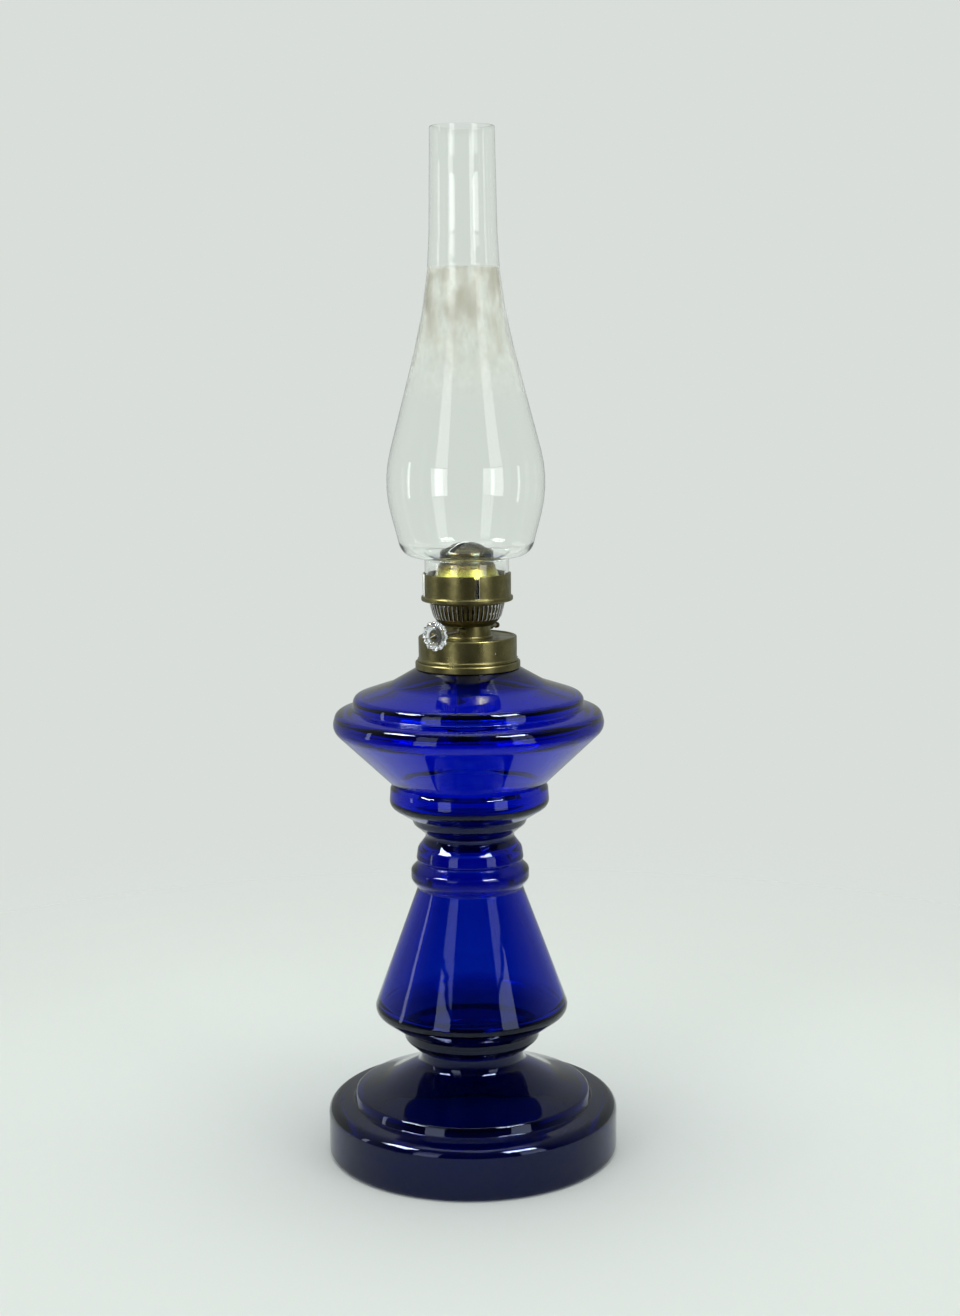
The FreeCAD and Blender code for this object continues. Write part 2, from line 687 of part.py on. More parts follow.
def make_burner_floor():
    """Plate under the drum's top with a slot for the wick tube and a hole for the vent tube."""
    body = new_body("burner_floor", floor_plate_level)
    turned(body, [
        (axis, ground),
        (floor_plate_radius, ground),
        (floor_plate_radius, brass_wall),
        (axis, brass_wall),
    ])
    openings = new_sketch(body, "floor_openings", "XY_Plane")
    half_depth = tube_half_depth + fit_gap
    half_width = tube_half_width + fit_gap
    draw_rectangle(openings, (half_depth * -1, half_width * -1), (half_depth, half_width))
    draw_circle(openings, vent_offset * -1, axis, vent_radius + fit_gap)
    cut(body, openings, both_ways=True)

    turned_vent = new_body("vent_tube", floor_plate_level - vent_drop)
    turned(turned_vent, [
        (vent_bore_radius, ground),
        (vent_radius, ground),
        (vent_radius, vent_length),
        (vent_bore_radius, vent_length),
    ])
    turned_vent.Placement.Base.x = -vent_offset.value
    bind(turned_vent, ".Placement.Base.x", vent_offset * -1)


def make_burner_neck():
    """Short flanged tube on the drum, bored across for the spindle's two bushes."""
    body = new_body("burner_neck", burner_level)
    turned(body, [
        (burner_neck_radius - brass_wall, ground),
        (burner_neck_radius + burner_neck_flange, ground),
        (burner_neck_radius + burner_neck_flange, brass_wall),
        (burner_neck_radius, brass_wall, edge_round),
        (burner_neck_radius, burner_neck_height),
        (burner_neck_radius - brass_wall, burner_neck_height),
    ])
    bores = new_sketch(body, "bush_bores")
    draw_circle(bores, spindle_offset, spindle_height, bush_radius + fit_gap)
    cut(body, bores, both_ways=True)


def make_wick_tube():
    """Flat tube with two windows through which the spur wheels reach the wick."""
    body = new_body("wick_tube", wick_tube_level)
    section = new_sketch(body, "wick_tube_section", "XY_Plane")
    outer_corner = (tube_half_depth, tube_half_width)
    draw_rectangle(section, (tube_half_depth * -1, tube_half_width * -1), outer_corner)
    inner_depth = tube_half_depth - thin_wall
    inner_width = tube_half_width - thin_wall
    draw_rectangle(section, (inner_depth * -1, inner_width * -1), (inner_depth, inner_width))
    tube = body.newObject("PartDesign::Pad", "wick_tube_drawn")
    tube.Profile = section
    tube.Length = wick_tube_length.value
    bind(tube, "Length", wick_tube_length)
    doc.recompute()
    windows = new_sketch(body, "wheel_windows", "YZ_Plane")
    middle = spindle_level - wick_tube_level
    half_width = wheel_width / 2 + window_extra
    for side in (-1, 1):
        centre = wheel_place * side
        low = (centre - half_width, middle - window_half_height)
        high = (centre + half_width, middle + window_half_height)
        draw_rectangle(windows, low, high)
    cut(body, windows, depth=tube_half_depth, backwards=True)


def make_wick():
    """Flat woven cotton tape, from just above its tube down to the bottom of the font."""
    body = new_body("wick", wick_level)
    section = new_sketch(body, "wick_section", "XY_Plane")
    half_depth = wick_thickness / 2
    half_width = wick_width / 2
    draw_rectangle(section, (half_depth * -1, half_width * -1), (half_depth, half_width))
    tape = body.newObject("PartDesign::Pad", "wick_woven")
    tape.Profile = section
    tape.Length = wick_length.value
    bind(tape, "Length", wick_length)


def make_basket():
    """Thin bowl with upright air slots, standing on the burner's neck."""
    body = new_body("air_basket", neck_top_level)
    wall = thin_wall
    belly = basket_heel_rise + basket_belly_rise
    upper = belly + basket_upper_rise
    turned(body, [
        (burner_neck_radius - brass_wall, ground),
        (basket_foot_radius, ground, wall),
        (basket_heel_radius, basket_heel_rise, wall),
        (basket_belly_radius, belly, small_round),
        (basket_upper_radius, upper),
        (basket_top_radius, basket_height),
        (basket_top_radius - wall, basket_height),
        (basket_upper_radius - wall, upper),
        (basket_belly_radius - wall, belly),
        (basket_heel_radius - wall, basket_heel_rise + basket_heel_inset),
        (basket_foot_radius - basket_foot_inset, wall),
        (burner_neck_radius - brass_wall, wall),
    ])
    slot = new_sketch(body, "basket_slot", offset=basket_foot_radius)
    half = basket_slot_width / 2
    draw_rectangle(slot, (half * -1, basket_slot_foot), (half, basket_height - basket_slot_head))
    repeat_round(body, cut(body, slot, depth=basket_foot_radius, backwards=True), basket_slots)


def make_diffuser():
    """Perforated disc across the basket, slotted for the wick tube."""
    body = new_body("diffuser_plate", neck_top_level + diffuser_height)
    rim = basket_belly_radius - thin_wall - fit_gap
    turned(body, [(axis, ground), (rim, ground), (rim, thin_wall), (axis, thin_wall)])
    slot = new_sketch(body, "diffuser_slot", "XY_Plane")
    half_depth = tube_half_depth + fit_gap
    half_width = tube_half_width + fit_gap
    draw_rectangle(slot, (half_depth * -1, half_width * -1), (half_depth, half_width))
    cut(body, slot, both_ways=True)
    for name, circle, count in (
        ("inner_holes", diffuser_inner_circle, diffuser_inner_holes),
        ("outer_holes", diffuser_outer_circle, diffuser_outer_holes),
    ):
        hole = new_sketch(body, name, "XY_Plane")
        draw_circle(hole, circle, axis, diffuser_hole_radius)
        repeat_round(body, cut(body, hole, both_ways=True), count)


def make_gallery():
    """Beaded band round the chimney's fitter, cut into four prongs, on an annular floor."""
    body = new_body("chimney_gallery", gallery_level, gallery_turn)
    turned(body, [
        (gallery_floor_radius, ground),
        (gallery_radius + gallery_bead, ground, gallery_bead_round),
        (gallery_radius + gallery_bead, gallery_bead_height, gallery_bead_round),
        (gallery_radius, gallery_bead_height + gallery_bead_slope),
        (gallery_radius, gallery_height),
        (gallery_inner_radius, gallery_height),
        (gallery_inner_radius, brass_wall),
        (gallery_floor_radius, brass_wall),
    ])
    slot = new_sketch(body, "gallery_slot")
    half = gallery_slot_width / 2
    slot_foot = gallery_bead_height + gallery_slot_foot
    draw_rectangle(slot, (half * -1, slot_foot), (half, gallery_height + overshoot))
    repeat_round(body, cut(body, slot, depth=gallery_radius * 2), gallery_slots)


def make_deflector():
    """Flame spreader: a flared skirt on the gallery's floor, a banded neck and a slotted dome."""
    body = new_body("deflector_dome", seat_level)
    wall = thin_wall
    flare = deflector_rim_height + deflector_flare_rise
    neck = flare + deflector_neck_rise
    band = neck + deflector_band_height
    side = band + dome_side_height
    crown = side + dome_crown_rise
    top = crown + dome_top_rise
    turned(body, [
        (deflector_radius, ground),
        (deflector_radius, deflector_rim_height),
        (deflector_flare_radius, flare),
        (deflector_neck_radius, neck, small_round),
        (deflector_neck_radius, neck + deflector_lip_height),
        (deflector_band_radius, band),
        (deflector_band_radius, side, dome_side_round),
        (dome_crown_radius, crown, dome_crown_round),
        (axis, top),
        (axis, top - wall),
        (dome_crown_radius - dome_wall_inset, crown - wall, dome_crown_round),
        (deflector_band_radius - wall, side - dome_wall_inset, dome_side_round),
        (deflector_band_radius - wall, band),
        (deflector_neck_radius - wall, neck),
        (deflector_flare_radius - wall, flare),
        (deflector_radius - wall, deflector_rim_height),
        (deflector_radius - wall, ground),
    ])
    slot = new_sketch(body, "flame_slot")
    half = flame_slot_width / 2
    draw_rectangle(slot, (half * -1, top - flame_slot_depth), (half, top + overshoot))
    cut(body, slot, both_ways=True)


def make_bush(label, start, length):
    """Bearing tube soldered through the burner's neck, with running clearance round the spindle."""
    body = new_body(label)
    on_spindle(body)
    bore = spindle_radius + fit_gap
    turned(body, [
        (bore, start),
        (bush_radius, start),
        (bush_radius, start + length),
        (bore, start + length),
    ])


def make_spindle():
    """Plain rod from the end cap through both bushes to the knob."""
    body = new_body("wick_spindle")
    on_spindle(body)
    back = (burner_neck_radius + spindle_back_reach) * -1
    front = knob_face - knob_hub_depth
    turned(body, [(axis, back), (spindle_radius, back), (spindle_radius, front), (axis, front)])

    cap = new_body("spindle_end_cap")
    on_spindle(cap)
    turned(cap, [
        (axis, back - end_cap_length),
        (end_cap_radius, back - end_cap_length, end_round),
        (end_cap_radius, back),
        (axis, back),
    ])


def make_wheel(label, middle):
    """Spur wheel that drives the wick; its teeth are V-shaped notches."""
    body = new_body(label)
    on_spindle(body)
    low = middle - wheel_width / 2
    high = middle + wheel_width / 2
    turned(body, [(spindle_radius, low), (wheel_radius, low), (wheel_radius, high), (spindle_radius, high)])
    notch = new_sketch(body, f"{label}_notch", "XY_Plane")
    root = wheel_radius - tooth_depth
    outside = wheel_radius + tooth_overshoot
    draw_polygon(notch, [(root, axis), (outside, tooth_gap / 2), (outside, tooth_gap / -2)])
    repeat_round(body, cut(body, notch, both_ways=True), wheel_teeth)


def make_knob():
    """Pressed-glass knob with a scalloped edge and a moulded ring, its brass ferrule and its screw."""
    knob = new_body("wick_knob")
    on_spindle(knob)
    hub_face = knob_face - knob_hub_depth
    turned(knob, [
        (spindle_radius, knob_back),
        (knob_radius, knob_back, end_round),
        (knob_radius, knob_face - knob_bevel_depth, end_round),
        (knob_radius - knob_bevel_width, knob_face, edge_round),
        (knob_hub_radius + knob_hub_slope, knob_face, edge_round),
        (knob_hub_radius, hub_face),
        (spindle_radius, hub_face),
    ])
    notch = new_sketch(knob, "knob_notch", "XY_Plane")
    draw_circle(notch, knob_radius + knob_notch_offset, axis, knob_notch_radius)
    repeat_round(knob, cut(knob, notch, both_ways=True), knob_lobes)

    ferrule = new_body("knob_ferrule")
    on_spindle(ferrule)
    flange_back = knob_back - ferrule_flange
    turned(ferrule, [
        (spindle_radius, knob_back - ferrule_length),
        (ferrule_radius, knob_back - ferrule_length, edge_round),
        (ferrule_radius, flange_back),
        (ferrule_flange_radius, flange_back),
        (ferrule_flange_radius, knob_back),
        (spindle_radius, knob_back),
    ])

    screw = new_body("knob_screw")
    on_spindle(screw)
    turned(screw, [
        (axis, hub_face),
        (screw_radius, hub_face),
        (screw_radius, hub_face + screw_height, end_round),
        (axis, hub_face + screw_height),
    ])
    slot = new_sketch(screw, "screw_slot_section")
    half = screw_slot / 2
    slot_floor = hub_face + screw_height - screw_slot_depth
    draw_rectangle(slot, (half * -1, slot_floor), (half, hub_face + screw_height + overshoot))
    cut(screw, slot, both_ways=True)


def make_chimney():
    """Blown chimney: straight fitter, round-bottomed bulb drawn in to a slightly tapering stack."""
    wall = chimney_wall
    bulb_base = fitter_height + bulb_base_rise
    bulb = bulb_base + bulb_rise
    stack_base = bulb + stack_base_rise
    top = stack_base + stack_height
    turned(new_body("chimney", seat_level), [
        (fitter_radius, ground),
        (fitter_radius, fitter_height, fitter_round),
        (bulb_base_radius, bulb_base, bulb_base_round),
        (bulb_radius, bulb, bulb_round),
        (stack_base_radius, stack_base, stack_round),
        (stack_top_radius, top, chimney_lip_round),
        (stack_top_radius - wall, top, chimney_lip_round),
        (stack_base_radius - wall, stack_base, stack_round + wall),
        (bulb_radius - wall, bulb, bulb_round - wall),
        (bulb_base_radius - bulb_base_inset, bulb_base + chimney_inner_rise, bulb_base_round - wall),
        (fitter_radius - wall, fitter_height + chimney_inner_rise, fitter_round + wall),
        (fitter_radius - wall, ground),
    ])


make_pedestal()
make_font()
make_collar()
make_drum()
make_burner_floor()
make_burner_neck()
make_wick_tube()
make_wick()
make_basket()
make_diffuser()
make_gallery()
make_deflector()
make_bush("front_bush", bush_start, front_bush_length)
make_bush("back_bush", (bush_start + back_bush_length) * -1, back_bush_length)
make_spindle()
make_wheel("spur_wheel_front", wheel_place)
make_wheel("spur_wheel_back", wheel_place * -1)
make_knob()
make_chimney()
doc.recompute()

failed = [thing.Name for thing in doc.Objects if {"Invalid", "Error"} & set(thing.State)]
if failed:
    raise ValueError(f"failed features: {failed}")
bodies = [thing for thing in doc.Objects if thing.TypeId == "PartDesign::Body"]
for body in bodies:
    if body.Shape.isNull() or not body.Shape.isValid() or not body.Shape.Solids:
        raise ValueError(f"{body.Label} has no valid solid")

os.makedirs("parts", exist_ok=True)
for body in bodies:
    body.Shape.exportStep(f"parts/{body.Label}.step")
    print(f"{body.Label}: {len(body.Shape.Solids)} solid, {body.Shape.Volume / 1000:.2f} cm3")
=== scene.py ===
import json
import math

import bmesh
import bpy
from mathutils import Matrix, Vector


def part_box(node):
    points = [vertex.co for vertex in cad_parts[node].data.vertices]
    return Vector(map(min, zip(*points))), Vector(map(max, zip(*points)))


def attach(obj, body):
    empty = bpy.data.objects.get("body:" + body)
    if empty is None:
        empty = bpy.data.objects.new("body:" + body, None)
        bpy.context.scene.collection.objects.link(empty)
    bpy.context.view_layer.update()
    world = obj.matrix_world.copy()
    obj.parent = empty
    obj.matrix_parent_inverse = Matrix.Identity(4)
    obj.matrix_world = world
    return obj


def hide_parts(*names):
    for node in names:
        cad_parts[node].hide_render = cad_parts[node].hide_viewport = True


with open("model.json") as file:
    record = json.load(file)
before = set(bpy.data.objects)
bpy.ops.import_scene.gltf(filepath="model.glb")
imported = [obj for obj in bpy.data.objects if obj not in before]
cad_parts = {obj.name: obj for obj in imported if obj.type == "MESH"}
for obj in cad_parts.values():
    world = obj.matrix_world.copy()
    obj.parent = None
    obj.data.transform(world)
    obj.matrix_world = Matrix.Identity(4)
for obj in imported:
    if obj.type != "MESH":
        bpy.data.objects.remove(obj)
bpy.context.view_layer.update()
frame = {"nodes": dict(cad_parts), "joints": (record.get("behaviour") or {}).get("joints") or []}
nodes = frame["nodes"]
scene = bpy.context.scene
mm = 0.001
fullTurn = 2 * math.pi

spindleJoint = next(j for j in frame["joints"] if j["name"] == "wick_knob_turn")
spindleCentre = Vector(spindleJoint["pos_m"])


def floorOf(node):
    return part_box(node)[0].z


def linear(hexColour):
    parts = [int(hexColour[i:i + 2], 16) / 255 for i in (1, 3, 5)]
    return (*[c / 12.92 if c <= 0.04045 else ((c + 0.055) / 1.055) ** 2.4 for c in parts], 1)


def addNode(tree, kind, inputs=None, **settings):
    # inputs holds plain values or other nodes' outputs, by the socket's name or number
    node = tree.nodes.new(kind)
    for name, value in settings.items():
        setattr(node, name, value)
    for key, value in (inputs or {}).items():
        if isinstance(value, bpy.types.NodeSocket):
            tree.links.new(value, node.inputs[key])
        else:
            node.inputs[key].default_value = value
    return node


def newTree(name, sizes):
    tree = bpy.data.node_groups.new(name, "GeometryNodeTree")
    tree.interface.new_socket("Geometry", in_out="INPUT", socket_type="NodeSocketGeometry")
    kinds = {int: "NodeSocketInt", float: "NodeSocketFloat"}
    for label, value in sizes.items():
        socket = tree.interface.new_socket(label, in_out="INPUT", socket_type=kinds[type(value)])
        socket.default_value = value
    tree.interface.new_socket("Material", in_out="INPUT", socket_type="NodeSocketMaterial")
    tree.interface.new_socket("Geometry", in_out="OUTPUT", socket_type="NodeSocketGeometry")
    return tree, tree.nodes.new("NodeGroupInput").outputs


def endTree(tree, geometry, given):
    whole = addNode(tree, "GeometryNodeRealizeInstances", {0: geometry})
    painted = addNode(tree, "GeometryNodeSetMaterial", {
        "Geometry": whole.outputs[0], "Material": given["Material"],
    })
    end = tree.nodes.new("NodeGroupOutput")
    tree.links.new(painted.outputs[0], end.inputs[0])
    return tree


def turnedTree():
    # carries an outline round the lamp's axis; its wall may wave like blown glass, be scalloped or threaded
    tree, given = newTree("turned", {
        "Segments": 96, "Wave Height": 0.0, "Wave Size": 0.03, "Seed": 1,
        "Lobes": 12, "Lobe Depth": 0.0, "Lobe Start": 0.005, "Lobe Blend": 0.001,
        "Thread Depth": 0.0, "Thread Pitch": 0.0013, "Thread Low": 0.0, "Thread High": 0.0,
    })
    outline = addNode(tree, "GeometryNodeAttributeDomainSize", {0: given["Geometry"]})
    rows = addNode(tree, "ShaderNodeMath", {0: given["Segments"], 1: 1.0}, operation="ADD").outputs[0]
    grid = addNode(tree, "GeometryNodeMeshGrid", {
        "Size X": 1.0, "Size Y": 1.0, "Vertices X": outline.outputs["Point Count"], "Vertices Y": rows,
    })
    index = addNode(tree, "GeometryNodeInputIndex").outputs[0]
    middle = addNode(tree, "ShaderNodeMath", {0: index, 1: 0.5}, operation="ADD").outputs[0]
    share = addNode(tree, "ShaderNodeMath", {0: middle, 1: rows}, operation="DIVIDE").outputs[0]
    along = addNode(tree, "ShaderNodeMath", {0: share}, operation="FLOOR").outputs[0]
    around = addNode(tree, "ShaderNodeMath", {0: index, 1: rows}, operation="MODULO").outputs[0]
    turn = addNode(tree, "ShaderNodeMath", {0: around, 1: given["Segments"]}, operation="DIVIDE").outputs[0]
    angle = addNode(tree, "ShaderNodeMath", {0: turn, 1: fullTurn}, operation="MULTIPLY").outputs[0]
    place = addNode(tree, "GeometryNodeInputPosition").outputs[0]
    sample = addNode(tree, "GeometryNodeSampleIndex", data_type="FLOAT_VECTOR")
    tree.links.new(given["Geometry"], sample.inputs["Geometry"])
    tree.links.new(place, sample.inputs["Value"])
    tree.links.new(along, sample.inputs["Index"])
    point = addNode(tree, "ShaderNodeSeparateXYZ", {0: sample.outputs[0]})
    radius, height = point.outputs["X"], point.outputs["Z"]
    cosine = addNode(tree, "ShaderNodeMath", {0: angle}, operation="COSINE").outputs[0]
    sine = addNode(tree, "ShaderNodeMath", {0: angle}, operation="SINE").outputs[0]

    # slow waves of hand-blown glass, always inwards, and none at the axis
    acrossX = addNode(tree, "ShaderNodeMath", {0: radius, 1: cosine}, operation="MULTIPLY").outputs[0]
    acrossY = addNode(tree, "ShaderNodeMath", {0: radius, 1: sine}, operation="MULTIPLY").outputs[0]
    spot = addNode(tree, "ShaderNodeCombineXYZ", {"X": acrossX, "Y": acrossY, "Z": height}).outputs[0]
    waveScale = addNode(tree, "ShaderNodeMath", {
        0: 1.0, 1: given["Wave Size"],
    }, operation="DIVIDE").outputs[0]
    waves = addNode(tree, "ShaderNodeTexNoise", {
        "Vector": spot, "W": given["Seed"], "Scale": waveScale, "Detail": 1.0,
    }, noise_dimensions="4D").outputs[0]
    offAxis = addNode(tree, "ShaderNodeMapRange", {"Value": radius, "From Max": 0.012}).outputs[0]
    dip = addNode(tree, "ShaderNodeMath", {
        0: waves, 1: given["Wave Height"],
    }, operation="MULTIPLY").outputs[0]
    dip = addNode(tree, "ShaderNodeMath", {0: dip, 1: offAxis}, operation="MULTIPLY").outputs[0]

    # scallops round the edge
    lobeAngle = addNode(tree, "ShaderNodeMath", {
        0: angle, 1: given["Lobes"],
    }, operation="MULTIPLY").outputs[0]
    lobeWave = addNode(tree, "ShaderNodeMath", {0: lobeAngle}, operation="COSINE").outputs[0]
    lobeWave = addNode(tree, "ShaderNodeMapRange", {
        "Value": lobeWave, "From Min": -1.0, "From Max": 1.0, "To Min": 1.0, "To Max": 0.0,
    }).outputs[0]
    lobeWave = addNode(tree, "ShaderNodeMath", {0: lobeWave, 1: 1.8}, operation="POWER").outputs[0]
    lobeEnd = addNode(tree, "ShaderNodeMath", {
        0: given["Lobe Start"], 1: given["Lobe Blend"],
    }, operation="ADD").outputs[0]
    lobeShare = addNode(tree, "ShaderNodeMapRange", {
        "Value": radius, "From Min": given["Lobe Start"], "From Max": lobeEnd,
    }).outputs[0]
    lobeDip = addNode(tree, "ShaderNodeMath", {
        0: lobeWave, 1: given["Lobe Depth"],
    }, operation="MULTIPLY").outputs[0]
    lobeDip = addNode(tree, "ShaderNodeMath", {0: lobeDip, 1: lobeShare}, operation="MULTIPLY").outputs[0]

    # rolled thread: one ridge that climbs a pitch each turn and fades out at both ends
    climb = addNode(tree, "ShaderNodeMath", {
        0: height, 1: given["Thread Pitch"],
    }, operation="DIVIDE").outputs[0]
    climb = addNode(tree, "ShaderNodeMath", {0: climb, 1: turn}, operation="SUBTRACT").outputs[0]
    climb = addNode(tree, "ShaderNodeMath", {0: climb, 1: fullTurn}, operation="MULTIPLY").outputs[0]
    ridge = addNode(tree, "ShaderNodeMath", {0: climb}, operation="COSINE").outputs[0]
    ridge = addNode(tree, "ShaderNodeMapRange", {
        "Value": ridge, "From Min": -1.0, "From Max": 1.0, "To Min": 1.0, "To Max": 0.0,
    }).outputs[0]
    runIn = addNode(tree, "ShaderNodeMath", {
        0: given["Thread Low"], 1: given["Thread Pitch"],
    }, operation="ADD").outputs[0]
    runOut = addNode(tree, "ShaderNodeMath", {
        0: given["Thread High"], 1: given["Thread Pitch"],
    }, operation="SUBTRACT").outputs[0]
    rising = addNode(tree, "ShaderNodeMapRange", {
        "Value": height, "From Min": given["Thread Low"], "From Max": runIn,
    }).outputs[0]
    falling = addNode(tree, "ShaderNodeMapRange", {
        "Value": height, "From Min": given["Thread High"], "From Max": runOut,
    }).outputs[0]
    ridge = addNode(tree, "ShaderNodeMath", {0: ridge, 1: rising}, operation="MULTIPLY").outputs[0]
    ridge = addNode(tree, "ShaderNodeMath", {0: ridge, 1: falling}, operation="MULTIPLY").outputs[0]
    threadDip = addNode(tree, "ShaderNodeMath", {
        0: ridge, 1: given["Thread Depth"],
    }, operation="MULTIPLY").outputs[0]

    dip = addNode(tree, "ShaderNodeMath", {0: dip, 1: lobeDip}, operation="ADD").outputs[0]
    dip = addNode(tree, "ShaderNodeMath", {0: dip, 1: threadDip}, operation="ADD").outputs[0]
    reach = addNode(tree, "ShaderNodeMath", {0: radius, 1: dip}, operation="SUBTRACT").outputs[0]
    endX = addNode(tree, "ShaderNodeMath", {0: reach, 1: cosine}, operation="MULTIPLY").outputs[0]
    endY = addNode(tree, "ShaderNodeMath", {0: reach, 1: sine}, operation="MULTIPLY").outputs[0]
    end = addNode(tree, "ShaderNodeCombineXYZ", {"X": endX, "Y": endY, "Z": height}).outputs[0]
    placed = addNode(tree, "GeometryNodeSetPosition", {
        "Geometry": grid.outputs["Mesh"], "Position": end,
    }).outputs[0]
    closed = addNode(tree, "GeometryNodeMergeByDistance", {"Geometry": placed, "Distance": 2e-6}).outputs[0]
    outwards = addNode(tree, "GeometryNodeFlipFaces", {"Mesh": closed}).outputs[0]
    smooth = addNode(tree, "GeometryNodeSetShadeSmooth", {"Geometry": outwards}).outputs[0]
    return endTree(tree, smooth, given)


def repeatedTree():
    # repeats one item evenly round the lamp's axis
    tree, given = newTree("repeated round", {"Count": 4, "First Angle": 0.0})
    points = addNode(tree, "GeometryNodeMeshLine", {"Count": given["Count"], "Offset": (0, 0, 0)}).outputs[0]
    index = addNode(tree, "GeometryNodeInputIndex").outputs[0]
    share = addNode(tree, "ShaderNodeMath", {0: index, 1: given["Count"]}, operation="DIVIDE").outputs[0]
    angle = addNode(tree, "ShaderNodeMath", {0: share, 1: fullTurn}, operation="MULTIPLY").outputs[0]
    angle = addNode(tree, "ShaderNodeMath", {0: angle, 1: given["First Angle"]}, operation="ADD").outputs[0]
    spin = addNode(tree, "ShaderNodeCombineXYZ", {"Z": angle}).outputs[0]
    ring = addNode(tree, "GeometryNodeInstanceOnPoints", {
        "Points": points, "Instance": given["Geometry"], "Rotation": spin,
    }).outputs[0]
    return endTree(tree, ring, given)


def wovenTree():
    # flat tape as a closed tube of points: rows of yarn humps, one over and one under, on both of its faces
    tree, given = newTree("woven tape", {
        "Rows": 232, "Yarn": 0.0014, "Hump": 0.0001, "Width": 0.017, "Thickness": 0.0018,
        "Bottom": 0.0, "Top": 0.1, "Around": 64,
    })
    grid = addNode(tree, "GeometryNodeMeshGrid", {
        "Size X": 1.0, "Size Y": 1.0, "Vertices X": given["Rows"], "Vertices Y": given["Around"],
    }).outputs[0]
    index = addNode(tree, "GeometryNodeInputIndex").outputs[0]
    middle = addNode(tree, "ShaderNodeMath", {0: index, 1: 0.5}, operation="ADD").outputs[0]
    row = addNode(tree, "ShaderNodeMath", {0: middle, 1: given["Around"]}, operation="DIVIDE").outputs[0]
    row = addNode(tree, "ShaderNodeMath", {0: row}, operation="FLOOR").outputs[0]
    step = addNode(tree, "ShaderNodeMath", {0: index, 1: given["Around"]}, operation="MODULO").outputs[0]
    lastRow = addNode(tree, "ShaderNodeMath", {0: given["Rows"], 1: 1.0}, operation="SUBTRACT").outputs[0]
    lastStep = addNode(tree, "ShaderNodeMath", {0: given["Around"], 1: 1.0}, operation="SUBTRACT").outputs[0]
    up = addNode(tree, "ShaderNodeMath", {0: row, 1: lastRow}, operation="DIVIDE").outputs[0]
    height = addNode(tree, "ShaderNodeMapRange", {
        "Value": up, "To Min": given["Bottom"], "To Max": given["Top"],
    }).outputs[0]
    turn = addNode(tree, "ShaderNodeMath", {0: step, 1: lastStep}, operation="DIVIDE").outputs[0]
    angle = addNode(tree, "ShaderNodeMath", {0: turn, 1: fullTurn}, operation="MULTIPLY").outputs[0]
    cosine = addNode(tree, "ShaderNodeMath", {0: angle}, operation="COSINE").outputs[0]
    sine = addNode(tree, "ShaderNodeMath", {0: angle}, operation="SINE").outputs[0]
    # a rounded oblong: the width follows the sine of the turn, the thickness a steep power of its cosine
    halfWidth = addNode(tree, "ShaderNodeMath", {0: given["Width"], 1: 0.5}, operation="MULTIPLY").outputs[0]
    across = addNode(tree, "ShaderNodeMath", {0: sine, 1: halfWidth}, operation="MULTIPLY").outputs[0]
    side = addNode(tree, "ShaderNodeMath", {0: cosine}, operation="SIGN").outputs[0]
    bulge = addNode(tree, "ShaderNodeMath", {0: cosine}, operation="ABSOLUTE").outputs[0]
    bulge = addNode(tree, "ShaderNodeMath", {0: bulge, 1: 0.25}, operation="POWER").outputs[0]
    halfThick = addNode(tree, "ShaderNodeMath", {
        0: given["Thickness"], 1: 0.5,
    }, operation="MULTIPLY").outputs[0]
    halfThick = addNode(tree, "ShaderNodeMath", {
        0: halfThick, 1: given["Hump"],
    }, operation="SUBTRACT").outputs[0]
    yarnTurn = addNode(tree, "ShaderNodeMath", {
        0: fullTurn / 2, 1: given["Yarn"],
    }, operation="DIVIDE").outputs[0]
    warp = addNode(tree, "ShaderNodeMath", {0: across, 1: yarnTurn}, operation="MULTIPLY").outputs[0]
    warp = addNode(tree, "ShaderNodeMath", {0: warp}, operation="SINE").outputs[0]
    weft = addNode(tree, "ShaderNodeMath", {0: height, 1: yarnTurn}, operation="MULTIPLY").outputs[0]
    weft = addNode(tree, "ShaderNodeMath", {0: weft}, operation="SINE").outputs[0]
    weave = addNode(tree, "ShaderNodeMath", {0: warp, 1: weft}, operation="MULTIPLY").outputs[0]
    weave = addNode(tree, "ShaderNodeMath", {0: weave, 1: given["Hump"]}, operation="MULTIPLY").outputs[0]
    thick = addNode(tree, "ShaderNodeMath", {0: halfThick, 1: weave}, operation="ADD").outputs[0]
    thick = addNode(tree, "ShaderNodeMath", {0: thick, 1: bulge}, operation="MULTIPLY").outputs[0]
    thick = addNode(tree, "ShaderNodeMath", {0: thick, 1: side}, operation="MULTIPLY").outputs[0]
    end = addNode(tree, "ShaderNodeCombineXYZ", {"X": thick, "Y": across, "Z": height}).outputs[0]
    placed = addNode(tree, "GeometryNodeSetPosition", {"Geometry": grid, "Position": end}).outputs[0]
    closed = addNode(tree, "GeometryNodeMergeByDistance", {"Geometry": placed, "Distance": 2e-6}).outputs[0]
    smooth = addNode(tree, "GeometryNodeSetShadeSmooth", {"Geometry": closed}).outputs[0]
    return endTree(tree, smooth, given)


def runTree(piece, tree, material, sizes):
    # runs a tree on the piece's own points and keeps the result as its plain mesh
    modifier = piece.modifiers.new(tree.name, "NODES")
    modifier.node_group = tree
    for item in tree.interface.items_tree:
        if item.in_out == "INPUT" and item.name in sizes:
            modifier[item.identifier] = sizes[item.name]
        elif item.in_out == "INPUT" and item.name == "Material":
            modifier[item.identifier] = material
    return keepResult(piece)


def keepResult(piece):
    bpy.context.view_layer.update()
    seen = piece.evaluated_get(bpy.context.evaluated_depsgraph_get())
    mesh = bpy.data.meshes.new_from_object(seen)
    piece.modifiers.clear()
    piece.data = mesh
    mesh.name = piece.name
    return piece


